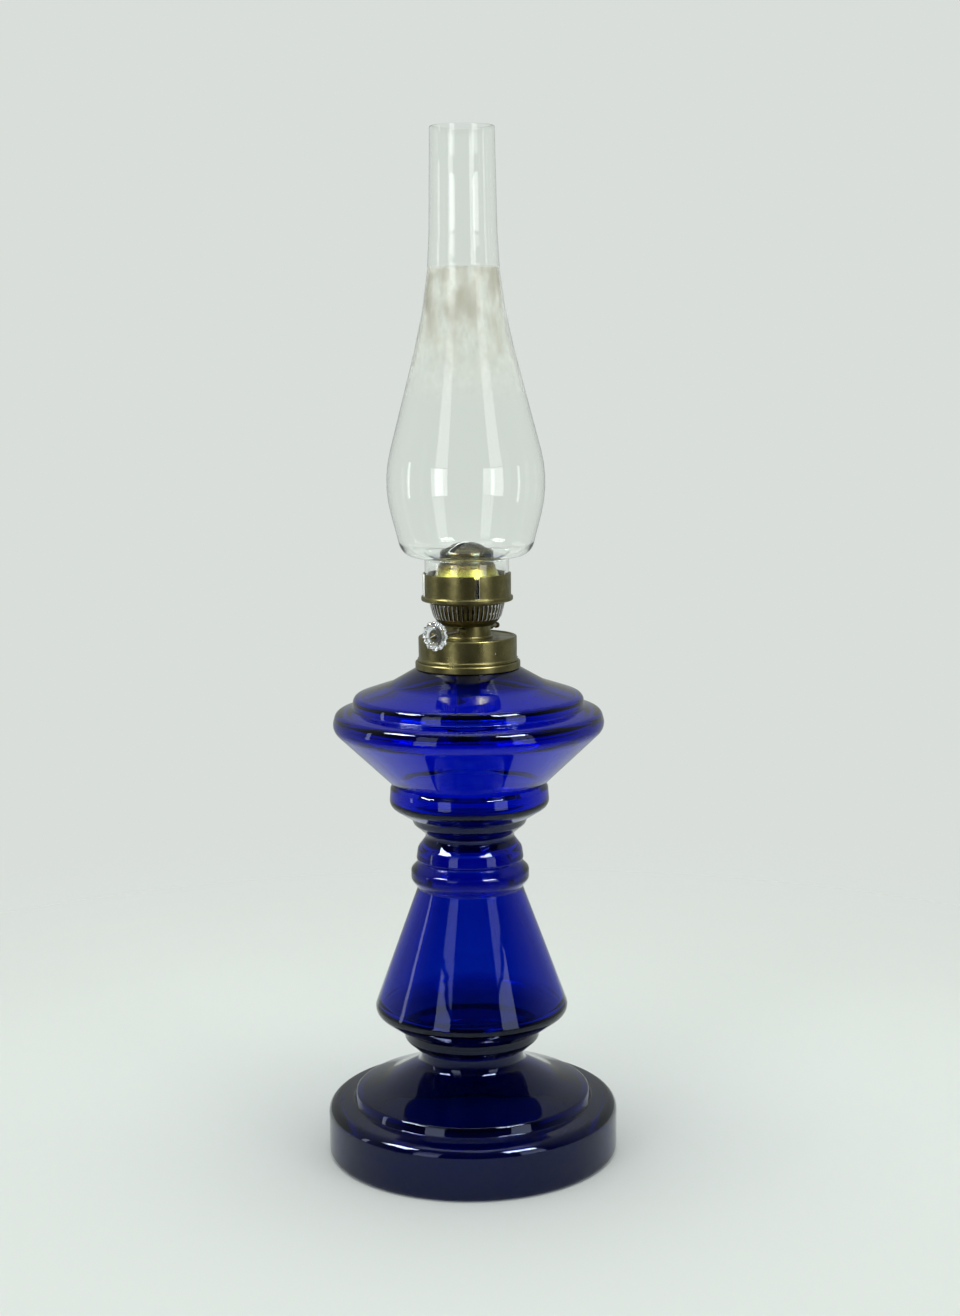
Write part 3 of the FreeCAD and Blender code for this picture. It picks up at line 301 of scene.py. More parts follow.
def newPiece(name, mesh):
    piece = bpy.data.objects.new(name, mesh)
    scene.collection.objects.link(piece)
    return piece


def roundedOutline(corners, closed=False, stepAngle=9, longestRun=2.5):
    # corners are (radius, height) or (radius, height, round) in mm; rounds become arcs, long runs are divided
    count = len(corners)
    line = []
    for i, corner in enumerate(corners):
        here = Vector(corner[:2])
        size = corner[2] if len(corner) == 3 else 0
        before = Vector(corners[i - 1][:2]) - here
        after = Vector(corners[(i + 1) % count][:2]) - here
        isEnd = not closed and i in (0, count - 1)
        if not size or isEnd:
            line.append(here)
            continue
        half = before.angle(after) / 2
        setback = min(size / math.tan(half), 0.48 * before.length, 0.48 * after.length)
        size = setback * math.tan(half)
        middle = here + (before.normalized() + after.normalized()).normalized() * (size / math.sin(half))
        start = here + before.normalized() * setback - middle
        bend = math.pi - 2 * half
        side = 1 if start.x * (here - middle).y - start.y * (here - middle).x > 0 else -1
        steps = max(2, math.ceil(math.degrees(bend) / stepAngle))
        for k in range(steps + 1):
            line.append(middle + Matrix.Rotation(side * bend * k / steps, 2) @ start)
    if closed:
        line.append(line[0])
    divided = [line[0]]
    for here, there in zip(line, line[1:]):
        parts = max(1, math.ceil((there - here).length / longestRun))
        divided += [here.lerp(there, k / parts) for k in range(1, parts + 1)]
    return divided


def turned(name, corners, bottom, material, closed=False, sizes=None, fine=None):
    # bottom is the height in metres that the corners' heights start from
    line = roundedOutline(corners, closed, **(fine or {}))
    mesh = bpy.data.meshes.new(name)
    points = [(p.x * mm, 0, p.y * mm + bottom) for p in line]
    mesh.from_pydata(points, [(i, i + 1) for i in range(len(line) - 1)], [])
    return runTree(newPiece(name, mesh), turnedOutline, material, sizes or {})


def block(low, high):
    # a plain box between two corners in metres, used as a cutter or as the item that is repeated
    shape = bmesh.new()
    bmesh.ops.create_cube(shape, size=1)
    size = Vector(high) - Vector(low)
    shape.transform(Matrix.Translation((Vector(high) + Vector(low)) / 2) @ Matrix.Diagonal((*size, 1)))
    mesh = bpy.data.meshes.new("block")
    shape.to_mesh(mesh)
    shape.free()
    return mesh


def peg(place, radius, length, sides=20):
    # a plain upright cylinder in metres, used as a drill
    shape = bmesh.new()
    bmesh.ops.create_cone(shape, cap_ends=True, segments=sides, radius1=radius, radius2=radius, depth=length)
    shape.transform(Matrix.Translation(place))
    mesh = bpy.data.meshes.new("peg")
    shape.to_mesh(mesh)
    shape.free()
    return mesh


def cutAway(piece, item, count=1, firstAngle=0.0):
    # takes the item, repeated round the axis, out of the piece
    cutter = newPiece("cutter", item)
    runTree(cutter, repeated, None, {"Count": count, "First Angle": firstAngle})
    cut = piece.modifiers.new("cut", "BOOLEAN")
    cut.operation = "DIFFERENCE"
    cut.solver = "EXACT"
    cut.object = cutter
    keepResult(piece)
    bpy.data.objects.remove(cutter)
    return piece


def crease(piece, angle=32):
    # keeps corners sharper than the angle crisp, and everything else smooth
    piece.data.polygons.foreach_set("use_smooth", [True] * len(piece.data.polygons))
    piece.data.set_sharp_from_angle(angle=math.radians(angle))
    return piece


def finishPiece(piece, body, slot, *replaced):
    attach(piece, body)
    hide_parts(*replaced)
    return piece


def alongSpindle(piece):
    # lays a piece made upright at the axis along the wick spindle, its top towards the knob
    piece.data.transform(Matrix.Translation(spindleCentre) @ Matrix.Rotation(math.pi / 2, 4, "X"))
    piece.data.update()
    return piece


def newMaterial(name):
    material = bpy.data.materials.new(name)
    material.use_nodes = True
    tree = material.node_tree
    tree.nodes.clear()
    shader = addNode(tree, "ShaderNodeBsdfPrincipled")
    output = addNode(tree, "ShaderNodeOutputMaterial", {"Surface": shader.outputs[0]})
    place = addNode(tree, "ShaderNodeTexCoord").outputs["Object"]
    return material, tree, shader, output, place


def cobaltGlass(waist, ankle, neck):
    # cobalt glass, blown in a mould and fire polished: a clear deep blue that darkens with the depth of the
    # wall; its base colour is graded by height as painted light and shade, darkest at the foot and round the
    # neck
    look = {
        "blue": (0.0, 0.56, 0.93, 1), "depth": 980.0, "ior": 1.51, "roughness": 0.02,
        # upper, cone, foot and neck are base colours set by height: painted light in the font, painted shade
        # at the foot and round the neck
        "neck": "#3f434e", "upper": "#93c8ff", "cone": "#86aade", "foot": "#59617a", "sheen": "#b9c6e6",
        "waistBelow": 14 * mm, "waistAbove": 6 * mm, "footShadeAbove": 12 * mm, "footShadeBelow": 4 * mm,
        "neckShadeStart": 24 * mm, "neckShadeEnd": 10 * mm, "ripple": 9 * mm, "rippleHeight": 0.02 * mm,
    }
    material, tree, shader, output, place = newMaterial("blown cobalt glass")
    height = addNode(tree, "ShaderNodeSeparateXYZ", {0: place}).outputs["Z"]
    # painted light: the base colour is lighter in the font above the waist
    raised = addNode(tree, "ShaderNodeMapRange", {
        "Value": height, "From Min": waist - look["waistBelow"], "From Max": waist + look["waistAbove"],
    }, interpolation_type="SMOOTHSTEP").outputs[0]
    # painted shade: the base colour darkens towards the foot
    low = addNode(tree, "ShaderNodeMapRange", {
        "Value": height, "From Min": ankle + look["footShadeAbove"], "From Max": ankle - look["footShadeBelow"],
    }, interpolation_type="SMOOTHSTEP").outputs[0]
    colour = addNode(tree, "ShaderNodeMix", {
        0: raised, 6: linear(look["cone"]), 7: linear(look["upper"]),
    }, data_type="RGBA").outputs[2]
    colour = addNode(tree, "ShaderNodeMix", {
        0: low, 6: colour, 7: linear(look["foot"]),
    }, data_type="RGBA").outputs[2]
    # painted shade: the base colour darkens round the neck
    high = addNode(tree, "ShaderNodeMapRange", {
        "Value": height, "From Min": neck - look["neckShadeStart"], "From Max": neck - look["neckShadeEnd"],
    }, interpolation_type="SMOOTHSTEP").outputs[0]
    colour = addNode(tree, "ShaderNodeMix", {
        0: high, 6: colour, 7: linear(look["neck"]),
    }, data_type="RGBA").outputs[2]
    tree.links.new(colour, shader.inputs["Base Color"])
    shader.inputs["Transmission Weight"].default_value = 1
    shader.inputs["Specular Tint"].default_value = linear(look["sheen"])
    shader.inputs["IOR"].default_value = look["ior"]
    shader.inputs["Roughness"].default_value = look["roughness"]
    ripples = addNode(tree, "ShaderNodeTexNoise", {
        "Vector": place, "Scale": 1 / look["ripple"], "Detail": 1.5,
    })
    bump = addNode(tree, "ShaderNodeBump", {
        "Height": ripples.outputs[0], "Distance": look["rippleHeight"], "Strength": 1.0,
    })
    tree.links.new(bump.outputs[0], shader.inputs["Normal"])
    inside = addNode(tree, "ShaderNodeVolumeAbsorption", {"Color": look["blue"], "Density": look["depth"]})
    tree.links.new(inside.outputs[0], output.inputs["Volume"])
    return material


def clearGlass(low, high):
    # thin clear soda glass, blown, with a faint brown film of old soot inside the lower stack
    look = {
        "glass": "#fbfdfb", "film": "#a8a391", "cover": 0.3, "streak": 7 * mm, "fadeIn": 45 * mm,
        "fadeOut": 0.9 * mm, "ior": 1.5, "shade": "#f4f6f4",
    }
    material, tree, shader, output, place = newMaterial("blown clear glass")
    height = addNode(tree, "ShaderNodeSeparateXYZ", {0: place}).outputs["Z"]
    stretched = addNode(tree, "ShaderNodeMapping", {"Vector": place, "Scale": (1, 1, 0.35)}).outputs[0]
    smears = addNode(tree, "ShaderNodeTexNoise", {
        "Vector": stretched, "Scale": 1 / look["streak"], "Detail": 5.0, "Roughness": 0.62,
    }).outputs[0]
    smears = addNode(tree, "ShaderNodeMapRange", {
        "Value": smears, "From Min": 0.38, "From Max": 0.72,
    }).outputs[0]
    above = addNode(tree, "ShaderNodeMapRange", {
        "Value": height, "From Min": low, "From Max": low + look["fadeIn"],
    }).outputs[0]
    below = addNode(tree, "ShaderNodeMapRange", {
        "Value": height, "From Min": high, "From Max": high - look["fadeOut"],
    }).outputs[0]
    film = addNode(tree, "ShaderNodeMath", {0: above, 1: below}, operation="MULTIPLY").outputs[0]
    film = addNode(tree, "ShaderNodeMath", {0: film, 1: smears}, operation="MULTIPLY").outputs[0]
    colour = addNode(tree, "ShaderNodeMix", {
        0: film, 6: linear(look["glass"]), 7: linear(look["film"]),
    }, data_type="RGBA").outputs[2]
    clear = addNode(tree, "ShaderNodeMapRange", {
        "Value": film, "To Min": 1.0, "To Max": 1 - look["cover"],
    }).outputs[0]
    tree.links.new(colour, shader.inputs["Base Color"])
    tree.links.new(clear, shader.inputs["Transmission Weight"])
    shader.inputs["IOR"].default_value = look["ior"]
    shader.inputs["Roughness"].default_value = 0.0
    letThrough(tree, shader, output, look["shade"])
    return material


def letThrough(tree, shader, output, tint):
    # lamps shine through the glass on what stands inside it
    rays = addNode(tree, "ShaderNodeLightPath").outputs["Is Shadow Ray"]
    passing = addNode(tree, "ShaderNodeBsdfTransparent", {0: linear(tint)})
    mixed = addNode(tree, "ShaderNodeMixShader", {0: rays, 1: shader.outputs[0], 2: passing.outputs[0]})
    tree.links.new(mixed.outputs[0], output.inputs["Surface"])


def pressedGlass():
    # clear pressed glass, a little dull from handling
    look = {
        "glass": "#eef2f4", "shade": "#e6eaec", "ior": 1.5, "clear": 0.94, "grime": 1.5 * mm, "polish": 0.02,
        "dull": 0.16,
    }
    material, tree, shader, output, place = newMaterial("pressed clear glass")
    grime = addNode(tree, "ShaderNodeTexNoise", {
        "Vector": place, "Scale": 1 / look["grime"], "Detail": 4.0,
    }).outputs[0]
    dull = addNode(tree, "ShaderNodeMapRange", {
        "Value": grime, "To Min": look["polish"], "To Max": look["dull"],
    }).outputs[0]
    tree.links.new(dull, shader.inputs["Roughness"])
    shader.inputs["Base Color"].default_value = linear(look["glass"])
    shader.inputs["Transmission Weight"].default_value = look["clear"]
    shader.inputs["IOR"].default_value = look["ior"]
    letThrough(tree, shader, output, look["shade"])
    return material


def brass(name, look):
    # spun and pressed sheet brass gone brown with age: a satin yellow metal under an uneven brown tarnish,
    # brighter where it has been handled, with faint rings from spinning
    material, tree, shader, output, place = newMaterial(name)
    clouds = addNode(tree, "ShaderNodeTexNoise", {
        "Vector": place, "Scale": 1 / look["clouds"], "Detail": 5.0, "Roughness": 0.6,
    }).outputs[0]
    specks = addNode(tree, "ShaderNodeTexNoise", {
        "Vector": place, "Scale": 1 / look["specks"], "Detail": 3.0, "Roughness": 0.7,
    }).outputs[0]
    tarnish = addNode(tree, "ShaderNodeMapRange", {
        "Value": clouds, "From Min": look["tarnishStart"], "From Max": look["tarnishEnd"],
    }).outputs[0]
    colour = addNode(tree, "ShaderNodeMix", {
        0: tarnish, 6: linear(look["bright"]), 7: linear(look["brown"]),
    }, data_type="RGBA").outputs[2]
    spots = addNode(tree, "ShaderNodeMapRange", {
        "Value": specks, "From Min": look["spotStart"], "From Max": look["spotEnd"],
        "To Max": look["spotting"],
    }).outputs[0]
    colour = addNode(tree, "ShaderNodeMix", {
        0: spots, 6: colour, 7: linear(look["dark"]),
    }, data_type="RGBA").outputs[2]
    rough = addNode(tree, "ShaderNodeMapRange", {
        "Value": clouds, "From Min": 0.3, "From Max": 0.7, "To Min": look["smooth"], "To Max": look["rough"],
    }).outputs[0]
    rings = addNode(tree, "ShaderNodeTexWave", {
        "Vector": place, "Scale": 0.5 / look["rings"], "Distortion": 0.4, "Detail": 1.0,
    }, wave_type="BANDS", bands_direction="Z").outputs["Fac"]
    relief = addNode(tree, "ShaderNodeMath", {
        0: specks, 1: look["specksHeight"],
    }, operation="MULTIPLY").outputs[0]
    relief = addNode(tree, "ShaderNodeMath", {0: relief, 1: rings}, operation="ADD").outputs[0]
    bump = addNode(tree, "ShaderNodeBump", {"Height": relief, "Distance": look["relief"], "Strength": 1.0})
    tree.links.new(colour, shader.inputs["Base Color"])
    tree.links.new(rough, shader.inputs["Roughness"])
    tree.links.new(bump.outputs[0], shader.inputs["Normal"])
    shader.inputs["Metallic"].default_value = 1
    return material


brassLooks = {
    "aged": {
        "bright": "#827c52", "brown": "#5a5638", "dark": "#383420", "spotting": 0.7, "clouds": 9 * mm,
        "specks": 1.1 * mm, "tarnishStart": 0.34, "tarnishEnd": 0.66, "spotStart": 0.6, "spotEnd": 0.74,
        "smooth": 0.24, "rough": 0.42, "rings": 0.5 * mm, "relief": 0.006 * mm,
        "specksHeight": 0.6,
    },
    "dark": {
        "bright": "#5c5433", "brown": "#40381f", "dark": "#231e11", "spotting": 0.8, "clouds": 6 * mm,
        "specks": 0.9 * mm, "tarnishStart": 0.34, "tarnishEnd": 0.66, "spotStart": 0.6, "spotEnd": 0.74,
        "smooth": 0.3, "rough": 0.5, "rings": 0.5 * mm, "relief": 0.006 * mm,
        "specksHeight": 0.6,
    },
}


def heatTonedBrass(low, high):
    # brass that has stood round the flame: yellow at its foot, brown to blue-green tones towards the dome, and
    # painted shade at the very bottom of the skirt
    look = {
        # the first tone, for the bottom of the skirt, is painted shade; the others are heat colours
        "skirt": "#3a3320", "foot": "#a2a04c", "waist": "#7d7036", "shoulder": "#4b462f", "crown": "#2f2b22",
        "levels": {"skirt": 0.36, "foot": 0.45, "waist": 0.55, "shoulder": 0.64},
        "sheen": "#4c5f58", "clouds": 6 * mm, "smooth": 0.18, "rough": 0.34,
    }
    material, tree, shader, output, place = newMaterial("heat toned brass")
    height = addNode(tree, "ShaderNodeSeparateXYZ", {0: place}).outputs["Z"]
    clouds = addNode(tree, "ShaderNodeTexNoise", {
        "Vector": place, "Scale": 1 / look["clouds"], "Detail": 4.0, "Roughness": 0.55,
    }).outputs[0]
    share = addNode(tree, "ShaderNodeMapRange", {
        "Value": height, "From Min": low, "From Max": high,
    }).outputs[0]
    shift = addNode(tree, "ShaderNodeMapRange", {"Value": clouds, "To Min": -0.1, "To Max": 0.1}).outputs[0]
    share = addNode(tree, "ShaderNodeMath", {0: share, 1: shift}, operation="ADD").outputs[0]
    tones = addNode(tree, "ShaderNodeValToRGB", {0: share})
    ramp = tones.color_ramp.elements
    # painted shade at the bottom of the skirt, where it stands down inside the gallery
    ramp[0].color = linear(look["skirt"])
    ramp[1].color = linear(look["crown"])
    for tone, level in look["levels"].items():
        ramp.new(level).color = linear(look[tone])
    hue = addNode(tree, "ShaderNodeMapRange", {
        "Value": clouds, "From Min": 0.52, "From Max": 0.7, "To Max": 0.5,
    }).outputs[0]
    upper = addNode(tree, "ShaderNodeMapRange", {"Value": share, "From Min": 0.5, "From Max": 0.8}).outputs[0]
    hue = addNode(tree, "ShaderNodeMath", {0: hue, 1: upper}, operation="MULTIPLY").outputs[0]
    colour = addNode(tree, "ShaderNodeMix", {
        0: hue, 6: tones.outputs[0], 7: linear(look["sheen"]),
    }, data_type="RGBA").outputs[2]
    rough = addNode(tree, "ShaderNodeMapRange", {
        "Value": clouds, "From Min": 0.3, "From Max": 0.7, "To Min": look["smooth"], "To Max": look["rough"],
    }).outputs[0]
    tree.links.new(colour, shader.inputs["Base Color"])
    tree.links.new(rough, shader.inputs["Roughness"])
    shader.inputs["Metallic"].default_value = 1
    return material


def steelWire():
    # drawn steel rod, grey with a bloom of rust
    look = {"steel": "#8b8982", "rust": "#6b4a33", "bloom": 1.2 * mm, "smooth": 0.3, "rough": 0.7}
    material, tree, shader, output, place = newMaterial("drawn steel")
    rust = addNode(tree, "ShaderNodeTexNoise", {
        "Vector": place, "Scale": 1 / look["bloom"], "Detail": 4.0,
    }).outputs[0]
    rusty = addNode(tree, "ShaderNodeMapRange", {"Value": rust, "From Min": 0.5, "From Max": 0.68}).outputs[0]
    colour = addNode(tree, "ShaderNodeMix", {
        0: rusty, 6: linear(look["steel"]), 7: linear(look["rust"]),
    }, data_type="RGBA").outputs[2]
    rough = addNode(tree, "ShaderNodeMapRange", {
        "Value": rusty, "To Min": look["smooth"], "To Max": look["rough"],
    }).outputs[0]
    tree.links.new(colour, shader.inputs["Base Color"])
    tree.links.new(rough, shader.inputs["Roughness"])
    shader.inputs["Metallic"].default_value = 1
    return material


def plaster():
    # set plaster of Paris: off-white, matt and slightly pitted
    look = {"shade": "#b8ad98", "white": "#d9d2c2", "grit": 0.8 * mm, "pits": 0.08 * mm}
    material, tree, shader, output, place = newMaterial("set plaster")
    grit = addNode(tree, "ShaderNodeTexNoise", {
        "Vector": place, "Scale": 1 / look["grit"], "Detail": 4.0,
    }).outputs[0]
    colour = addNode(tree, "ShaderNodeMix", {
        0: grit, 6: linear(look["shade"]), 7: linear(look["white"]),
    }, data_type="RGBA").outputs[2]
    bump = addNode(tree, "ShaderNodeBump", {"Height": grit, "Distance": look["pits"]})
    tree.links.new(colour, shader.inputs["Base Color"])
    tree.links.new(bump.outputs[0], shader.inputs["Normal"])
    shader.inputs["Roughness"].default_value = 0.9
    return material


def cottonWick(top):
    # woven cotton tape: cream, charred black for the last millimetres at the flame
    look = {"cotton": "#d8cfb6", "shade": "#b5a888", "char": "#17130f", "charred": 4 * mm, "fibre": 0.35 * mm}
    material, tree, shader, output, place = newMaterial("woven cotton wick")
    fibres = addNode(tree, "ShaderNodeTexNoise", {
        "Vector": place, "Scale": 1 / look["fibre"], "Detail": 3.0,
    }).outputs[0]
    colour = addNode(tree, "ShaderNodeMix", {
        0: fibres, 6: linear(look["shade"]), 7: linear(look["cotton"]),
    }, data_type="RGBA").outputs[2]
    height = addNode(tree, "ShaderNodeSeparateXYZ", {0: place}).outputs["Z"]
    ragged = addNode(tree, "ShaderNodeMapRange", {"Value": fibres, "To Min": -mm, "To Max": mm}).outputs[0]
    height = addNode(tree, "ShaderNodeMath", {0: height, 1: ragged}, operation="ADD").outputs[0]
    burnt = addNode(tree, "ShaderNodeMapRange", {
        "Value": height, "From Min": top - look["charred"], "From Max": top - 0.4 * look["charred"],
    }).outputs[0]
    colour = addNode(tree, "ShaderNodeMix", {
        0: burnt, 6: colour, 7: linear(look["char"]),
    }, data_type="RGBA").outputs[2]
    bump = addNode(tree, "ShaderNodeBump", {"Height": fibres, "Distance": 0.05 * mm})
    tree.links.new(colour, shader.inputs["Base Color"])
    tree.links.new(bump.outputs[0], shader.inputs["Normal"])
    shader.inputs["Roughness"].default_value = 0.95
    shader.inputs["Sheen Weight"].default_value = 0.3
    return material


view = {
    "azimuth": 38.0, "distance": 0.965, "height": 0.387, "downwards": 8.5,
    "aside": 0.344, "lean": 0.6, "lens": 56.08, "sensor": 36.0,
}
light = {
    "backdrop": "#d9deda", "room": "#3c3f3d", "ceiling": "#6c706e", "skyLevel": 1.05, "reflectedSky": 0.55,
    "roomEdge": -0.45, "backdropEdge": 0.25, "ceilingStart": 0.4, "ceilingEnd": 0.75,
    "boxDistance": 1.5, "boxHeight": 0.33, "boxTopHeight": 0.97,
    "leftAngle": -36.0, "leftSize": (0.5, 0.62), "leftPower": 2.6,
    "rightAngle": 46.0, "rightSize": (0.52, 0.62), "rightPower": 2.6,
    "leftTopPower": 1.5, "rightTopPower": 1.5,
    "windowAngle": -91.0, "windowSize": (0.12, 0.62), "windowPower": 0.7,
    "glintHeight": 1.65, "glintAim": 0.2, "glintLeft": -74.0, "glintRight": 44.0,
    "glintSize": (0.8, 0.55), "glintPower": 62.0,
    "topSize": (1.4, 1.4), "topHeight": 1.9, "topPower": 9.0,
    "floor": "#dde1de", "floorRadius": 2.2, "floorFadeStart": 0.2, "floorFadeEnd": 0.75,
}


def around(angle, distance, height):
    # a place round the lamp; 0 is the camera's own side and angles go to the camera's right
    turn = math.radians(view["azimuth"] + angle)
    return Vector((math.sin(turn) * distance, -math.cos(turn) * distance, height))


def makeCamera():
    lens = bpy.data.cameras.new("camera")
    lens.lens = view["lens"]
    lens.sensor_width = view["sensor"]
    camera = bpy.data.objects.new("camera", lens)
    scene.collection.objects.link(camera)
    heading = Matrix.Rotation(math.radians(view["azimuth"] - view["aside"]), 4, "Z")
    pitch = Matrix.Rotation(math.radians(90 - view["downwards"]), 4, "X")
    roll = Matrix.Rotation(math.radians(-view["lean"]), 4, "Z")
    place = Matrix.Translation(around(0, view["distance"], view["height"]))
    camera.matrix_world = place @ heading @ pitch @ roll
    scene.camera = camera


def makeLamp(name, place, aim, size, power):
    lamp = bpy.data.lights.new(name, "AREA")
    lamp.shape = "RECTANGLE"
    lamp.size, lamp.size_y = size
    lamp.energy = power
    holder = bpy.data.objects.new(name, lamp)
    scene.collection.objects.link(holder)
    holder.location = place
    holder.rotation_euler = (Vector(aim) - place).to_track_quat("-Z", "Y").to_euler()
    holder.visible_camera = False
    return holder


def makeLights():
    for side in ("left", "right", "window"):
        place = around(light[side + "Angle"], light["boxDistance"], light["boxHeight"])
        aim = (0, 0, light["boxHeight"])
        makeLamp(side + " lamp", place, aim, light[side + "Size"], light[side + "Power"])
    for side in ("left", "right"):
        place = around(light[side + "Angle"], light["boxDistance"], light["boxTopHeight"])
        aim = (0, 0, light["boxTopHeight"])
        makeLamp(side + " upper lamp", place, aim, light[side + "Size"], light[side + "TopPower"])
    # two strips that show only in reflections, as thin bright lines on the rings
    for side in ("Left", "Right"):
        place = around(light["glint" + side], light["boxDistance"], light["glintHeight"])
        aim = (0, 0, light["glintAim"])
        strip = makeLamp("glint " + side.lower(), place, aim, light["glintSize"], light["glintPower"])
        strip.visible_diffuse = False
    makeLamp("top lamp", Vector((0, 0, light["topHeight"])), (0, 0, 0), light["topSize"], light["topPower"])


def makeWorld():
    # a pale backdrop behind and beside the lamp, and a dimmer room on the camera's side for reflections
    world = bpy.data.worlds.new("studio")
    scene.world = world
    world.use_nodes = True
    tree = world.node_tree
    tree.nodes.clear()
    rays = addNode(tree, "ShaderNodeLightPath").outputs
    direction = addNode(tree, "ShaderNodeTexCoord").outputs["Generated"]
    away = around(180, 1, 0)
    facing = addNode(tree, "ShaderNodeVectorMath", {0: direction, 1: tuple(away)}, operation="DOT_PRODUCT")
    share = addNode(tree, "ShaderNodeMapRange", {
        "Value": facing.outputs["Value"], "From Min": light["roomEdge"], "From Max": light["backdropEdge"],
    }).outputs[0]
    upward = addNode(tree, "ShaderNodeSeparateXYZ", {0: direction}).outputs["Z"]
    overhead = addNode(tree, "ShaderNodeMapRange", {
        "Value": upward, "From Min": light["ceilingStart"], "From Max": light["ceilingEnd"],
    }).outputs[0]
    room = addNode(tree, "ShaderNodeMix", {
        0: overhead, 6: linear(light["room"]), 7: linear(light["ceiling"]),
    }, data_type="RGBA").outputs[2]
    reflected = addNode(tree, "ShaderNodeMix", {
        0: share, 6: room, 7: linear(light["backdrop"]),
    }, data_type="RGBA").outputs[2]
    notThrough = addNode(tree, "ShaderNodeMath", {0: rays["Is Glossy Ray"], 1: rays["Is Transmission Ray"]},
                         operation="SUBTRACT", use_clamp=True).outputs[0]
    colour = addNode(tree, "ShaderNodeMix", {
        0: notThrough, 6: linear(light["backdrop"]), 7: reflected,
    }, data_type="RGBA").outputs[2]
    seen = addNode(tree, "ShaderNodeMath", {0: rays["Is Camera Ray"], 1: rays["Is Transmission Ray"]},
                   operation="MAXIMUM").outputs[0]
    unlit = addNode(tree, "ShaderNodeMath", {
        0: rays["Diffuse Depth"], 1: 0.5,
    }, operation="LESS_THAN").outputs[0]
    seen = addNode(tree, "ShaderNodeMath", {0: seen, 1: unlit}, operation="MULTIPLY").outputs[0]
    level = addNode(tree, "ShaderNodeMapRange", {
        "Value": notThrough, "To Min": light["skyLevel"], "To Max": light["reflectedSky"],
    }).outputs[0]
    level = addNode(tree, "ShaderNodeMix", {0: seen, 2: level, 3: 1.0}, data_type="FLOAT").outputs[0]
    shade = addNode(tree, "ShaderNodeBackground", {"Color": colour, "Strength": level})
    addNode(tree, "ShaderNodeOutputWorld", {0: shade.outputs[0]})


def makeFloor():
    # a pale table top that fades into the backdrop
    shape = bmesh.new()
    bmesh.ops.create_circle(shape, cap_ends=True, segments=96, radius=light["floorRadius"])
    mesh = bpy.data.meshes.new("floor")
    shape.to_mesh(mesh)
    shape.free()
    floor = newPiece("floor", mesh)
    material, tree, shader, output, place = newMaterial("pale paper")
    shader.inputs["Base Color"].default_value = linear(light["floor"])
    shader.inputs["Roughness"].default_value = 0.9
    shader.inputs["Specular IOR Level"].default_value = 0.1
    apart = addNode(tree, "ShaderNodeVectorMath", {0: place}, operation="LENGTH").outputs["Value"]
    fade = addNode(tree, "ShaderNodeMapRange", {
        "Value": apart, "From Min": light["floorFadeStart"], "From Max": light["floorFadeEnd"],
    }, interpolation_type="SMOOTHSTEP").outputs[0]
    clear = addNode(tree, "ShaderNodeBsdfTransparent")
    mixed = addNode(tree, "ShaderNodeMixShader", {0: fade, 1: shader.outputs[0], 2: clear.outputs[0]})
    tree.links.new(mixed.outputs[0], output.inputs["Surface"])
    floor.data.materials.append(material)


glassBody = {
    "foot": 70.6, "hollow": 64.6, "cone": 47.7, "waist": 21.5, "joint": 158.5, "neck": 19.6, "wall": 3.8,
    "creaseAngle": 60, "shape": {"Segments": 144, "Wave Height": 0.28 * mm, "Wave Size": 34 * mm, "Seed": 3},
}


def makeGlassBody():
    # foot, cone and rings, joined hot at the waist to the font: one wall of glass round two hollows
    foot, hollow, cone = glassBody["foot"], glassBody["hollow"], glassBody["cone"]
    waist, joint = glassBody["waist"], glassBody["joint"]
    neck, wall = glassBody["neck"], glassBody["wall"]
    footOutside = [
        (hollow, 0), (foot, 0, 3.0), (foot, 24.8, 5.0), (58.4, 26.2, 0.8), (56.8, 30.6, 1.8),
        (43.0, 35.0, 30.0), (25.5, 44.5, 5.0), (24.6, 52.3, 0.8), (28.2, 52.6, 1.8), (32.9, 56.9, 2.2),
        (33.4, 61.7, 0.8), (41.0, 65.9, 4.5), (cone, 71.2, 4.5), (25.4, 131.8, 0.8), (28.6, 136.0, 2.4),
        (28.6, 140.8, 2.4), (24.7, 144.6, 0.8), (26.0, 146.0, 1.2), (25.2, 151.2, 3.5), (waist, 156.1, 0.8),
        (waist, joint),
    ]
    footInside = [
        (0, 152.0), (20.6, 152.0, 2.2), (21.6, 131.8, 30.0), (cone - wall, 73.1, 4.5), (20.8, 56.9, 2.2),
        (21.7, 42.6, 5.0), (43.0, 31.2, 30.0), (53.0, 26.8, 2.2), (58.4, 22.4, 0.8), (hollow, 21.0, 2.2),
    ]
    # the font's two outlines start at its own bottom
    fontOutside = [
        (27.1, 4.7, 2.0), (28.4, 8.1, 0.8), (30.7, 9.0, 0.8), (38.6, 13.9, 4.4), (38.0, 22.3, 2.4),
        (36.8, 24.1), (65.6, 51.7, 7.5), (63.6, 58.9, 3.5), (55.5, 61.2, 0.8), (55.0, 66.5, 3.3),
        (38.0, 72.3, 15.0), (neck, 82.9, 0.8), (neck, 90.1, 0.8),
    ]
    fontInside = [
        (neck - wall, 90.1, 0.8), (neck - wall, 82.1, 3.3), (37.0, 68.5, 15.0), (51.2, 62.7, 3.3),
        (51.7, 56.6, 0.8), (60.7, 52.7, 3.5), (33.0, 26.4, 3.3), (34.2, 15.8, 3.5), (24.6, 10.4, 3.5),
        (0, 8.5),
    ]
    rise = (floorOf("glass_font") - floorOf("glass_pedestal")) / mm
    corners = footInside + footOutside
    corners += [(radius, height + rise, *curve) for radius, height, *curve in fontOutside + fontInside]
    body = turned("glass_body", corners, floorOf("glass_pedestal"), material["cobalt"],
                  sizes=glassBody["shape"])
    crease(body, glassBody["creaseAngle"])
    finishPiece(body, "lamp_base", "cobalt_glass", "glass_pedestal", "glass_font")


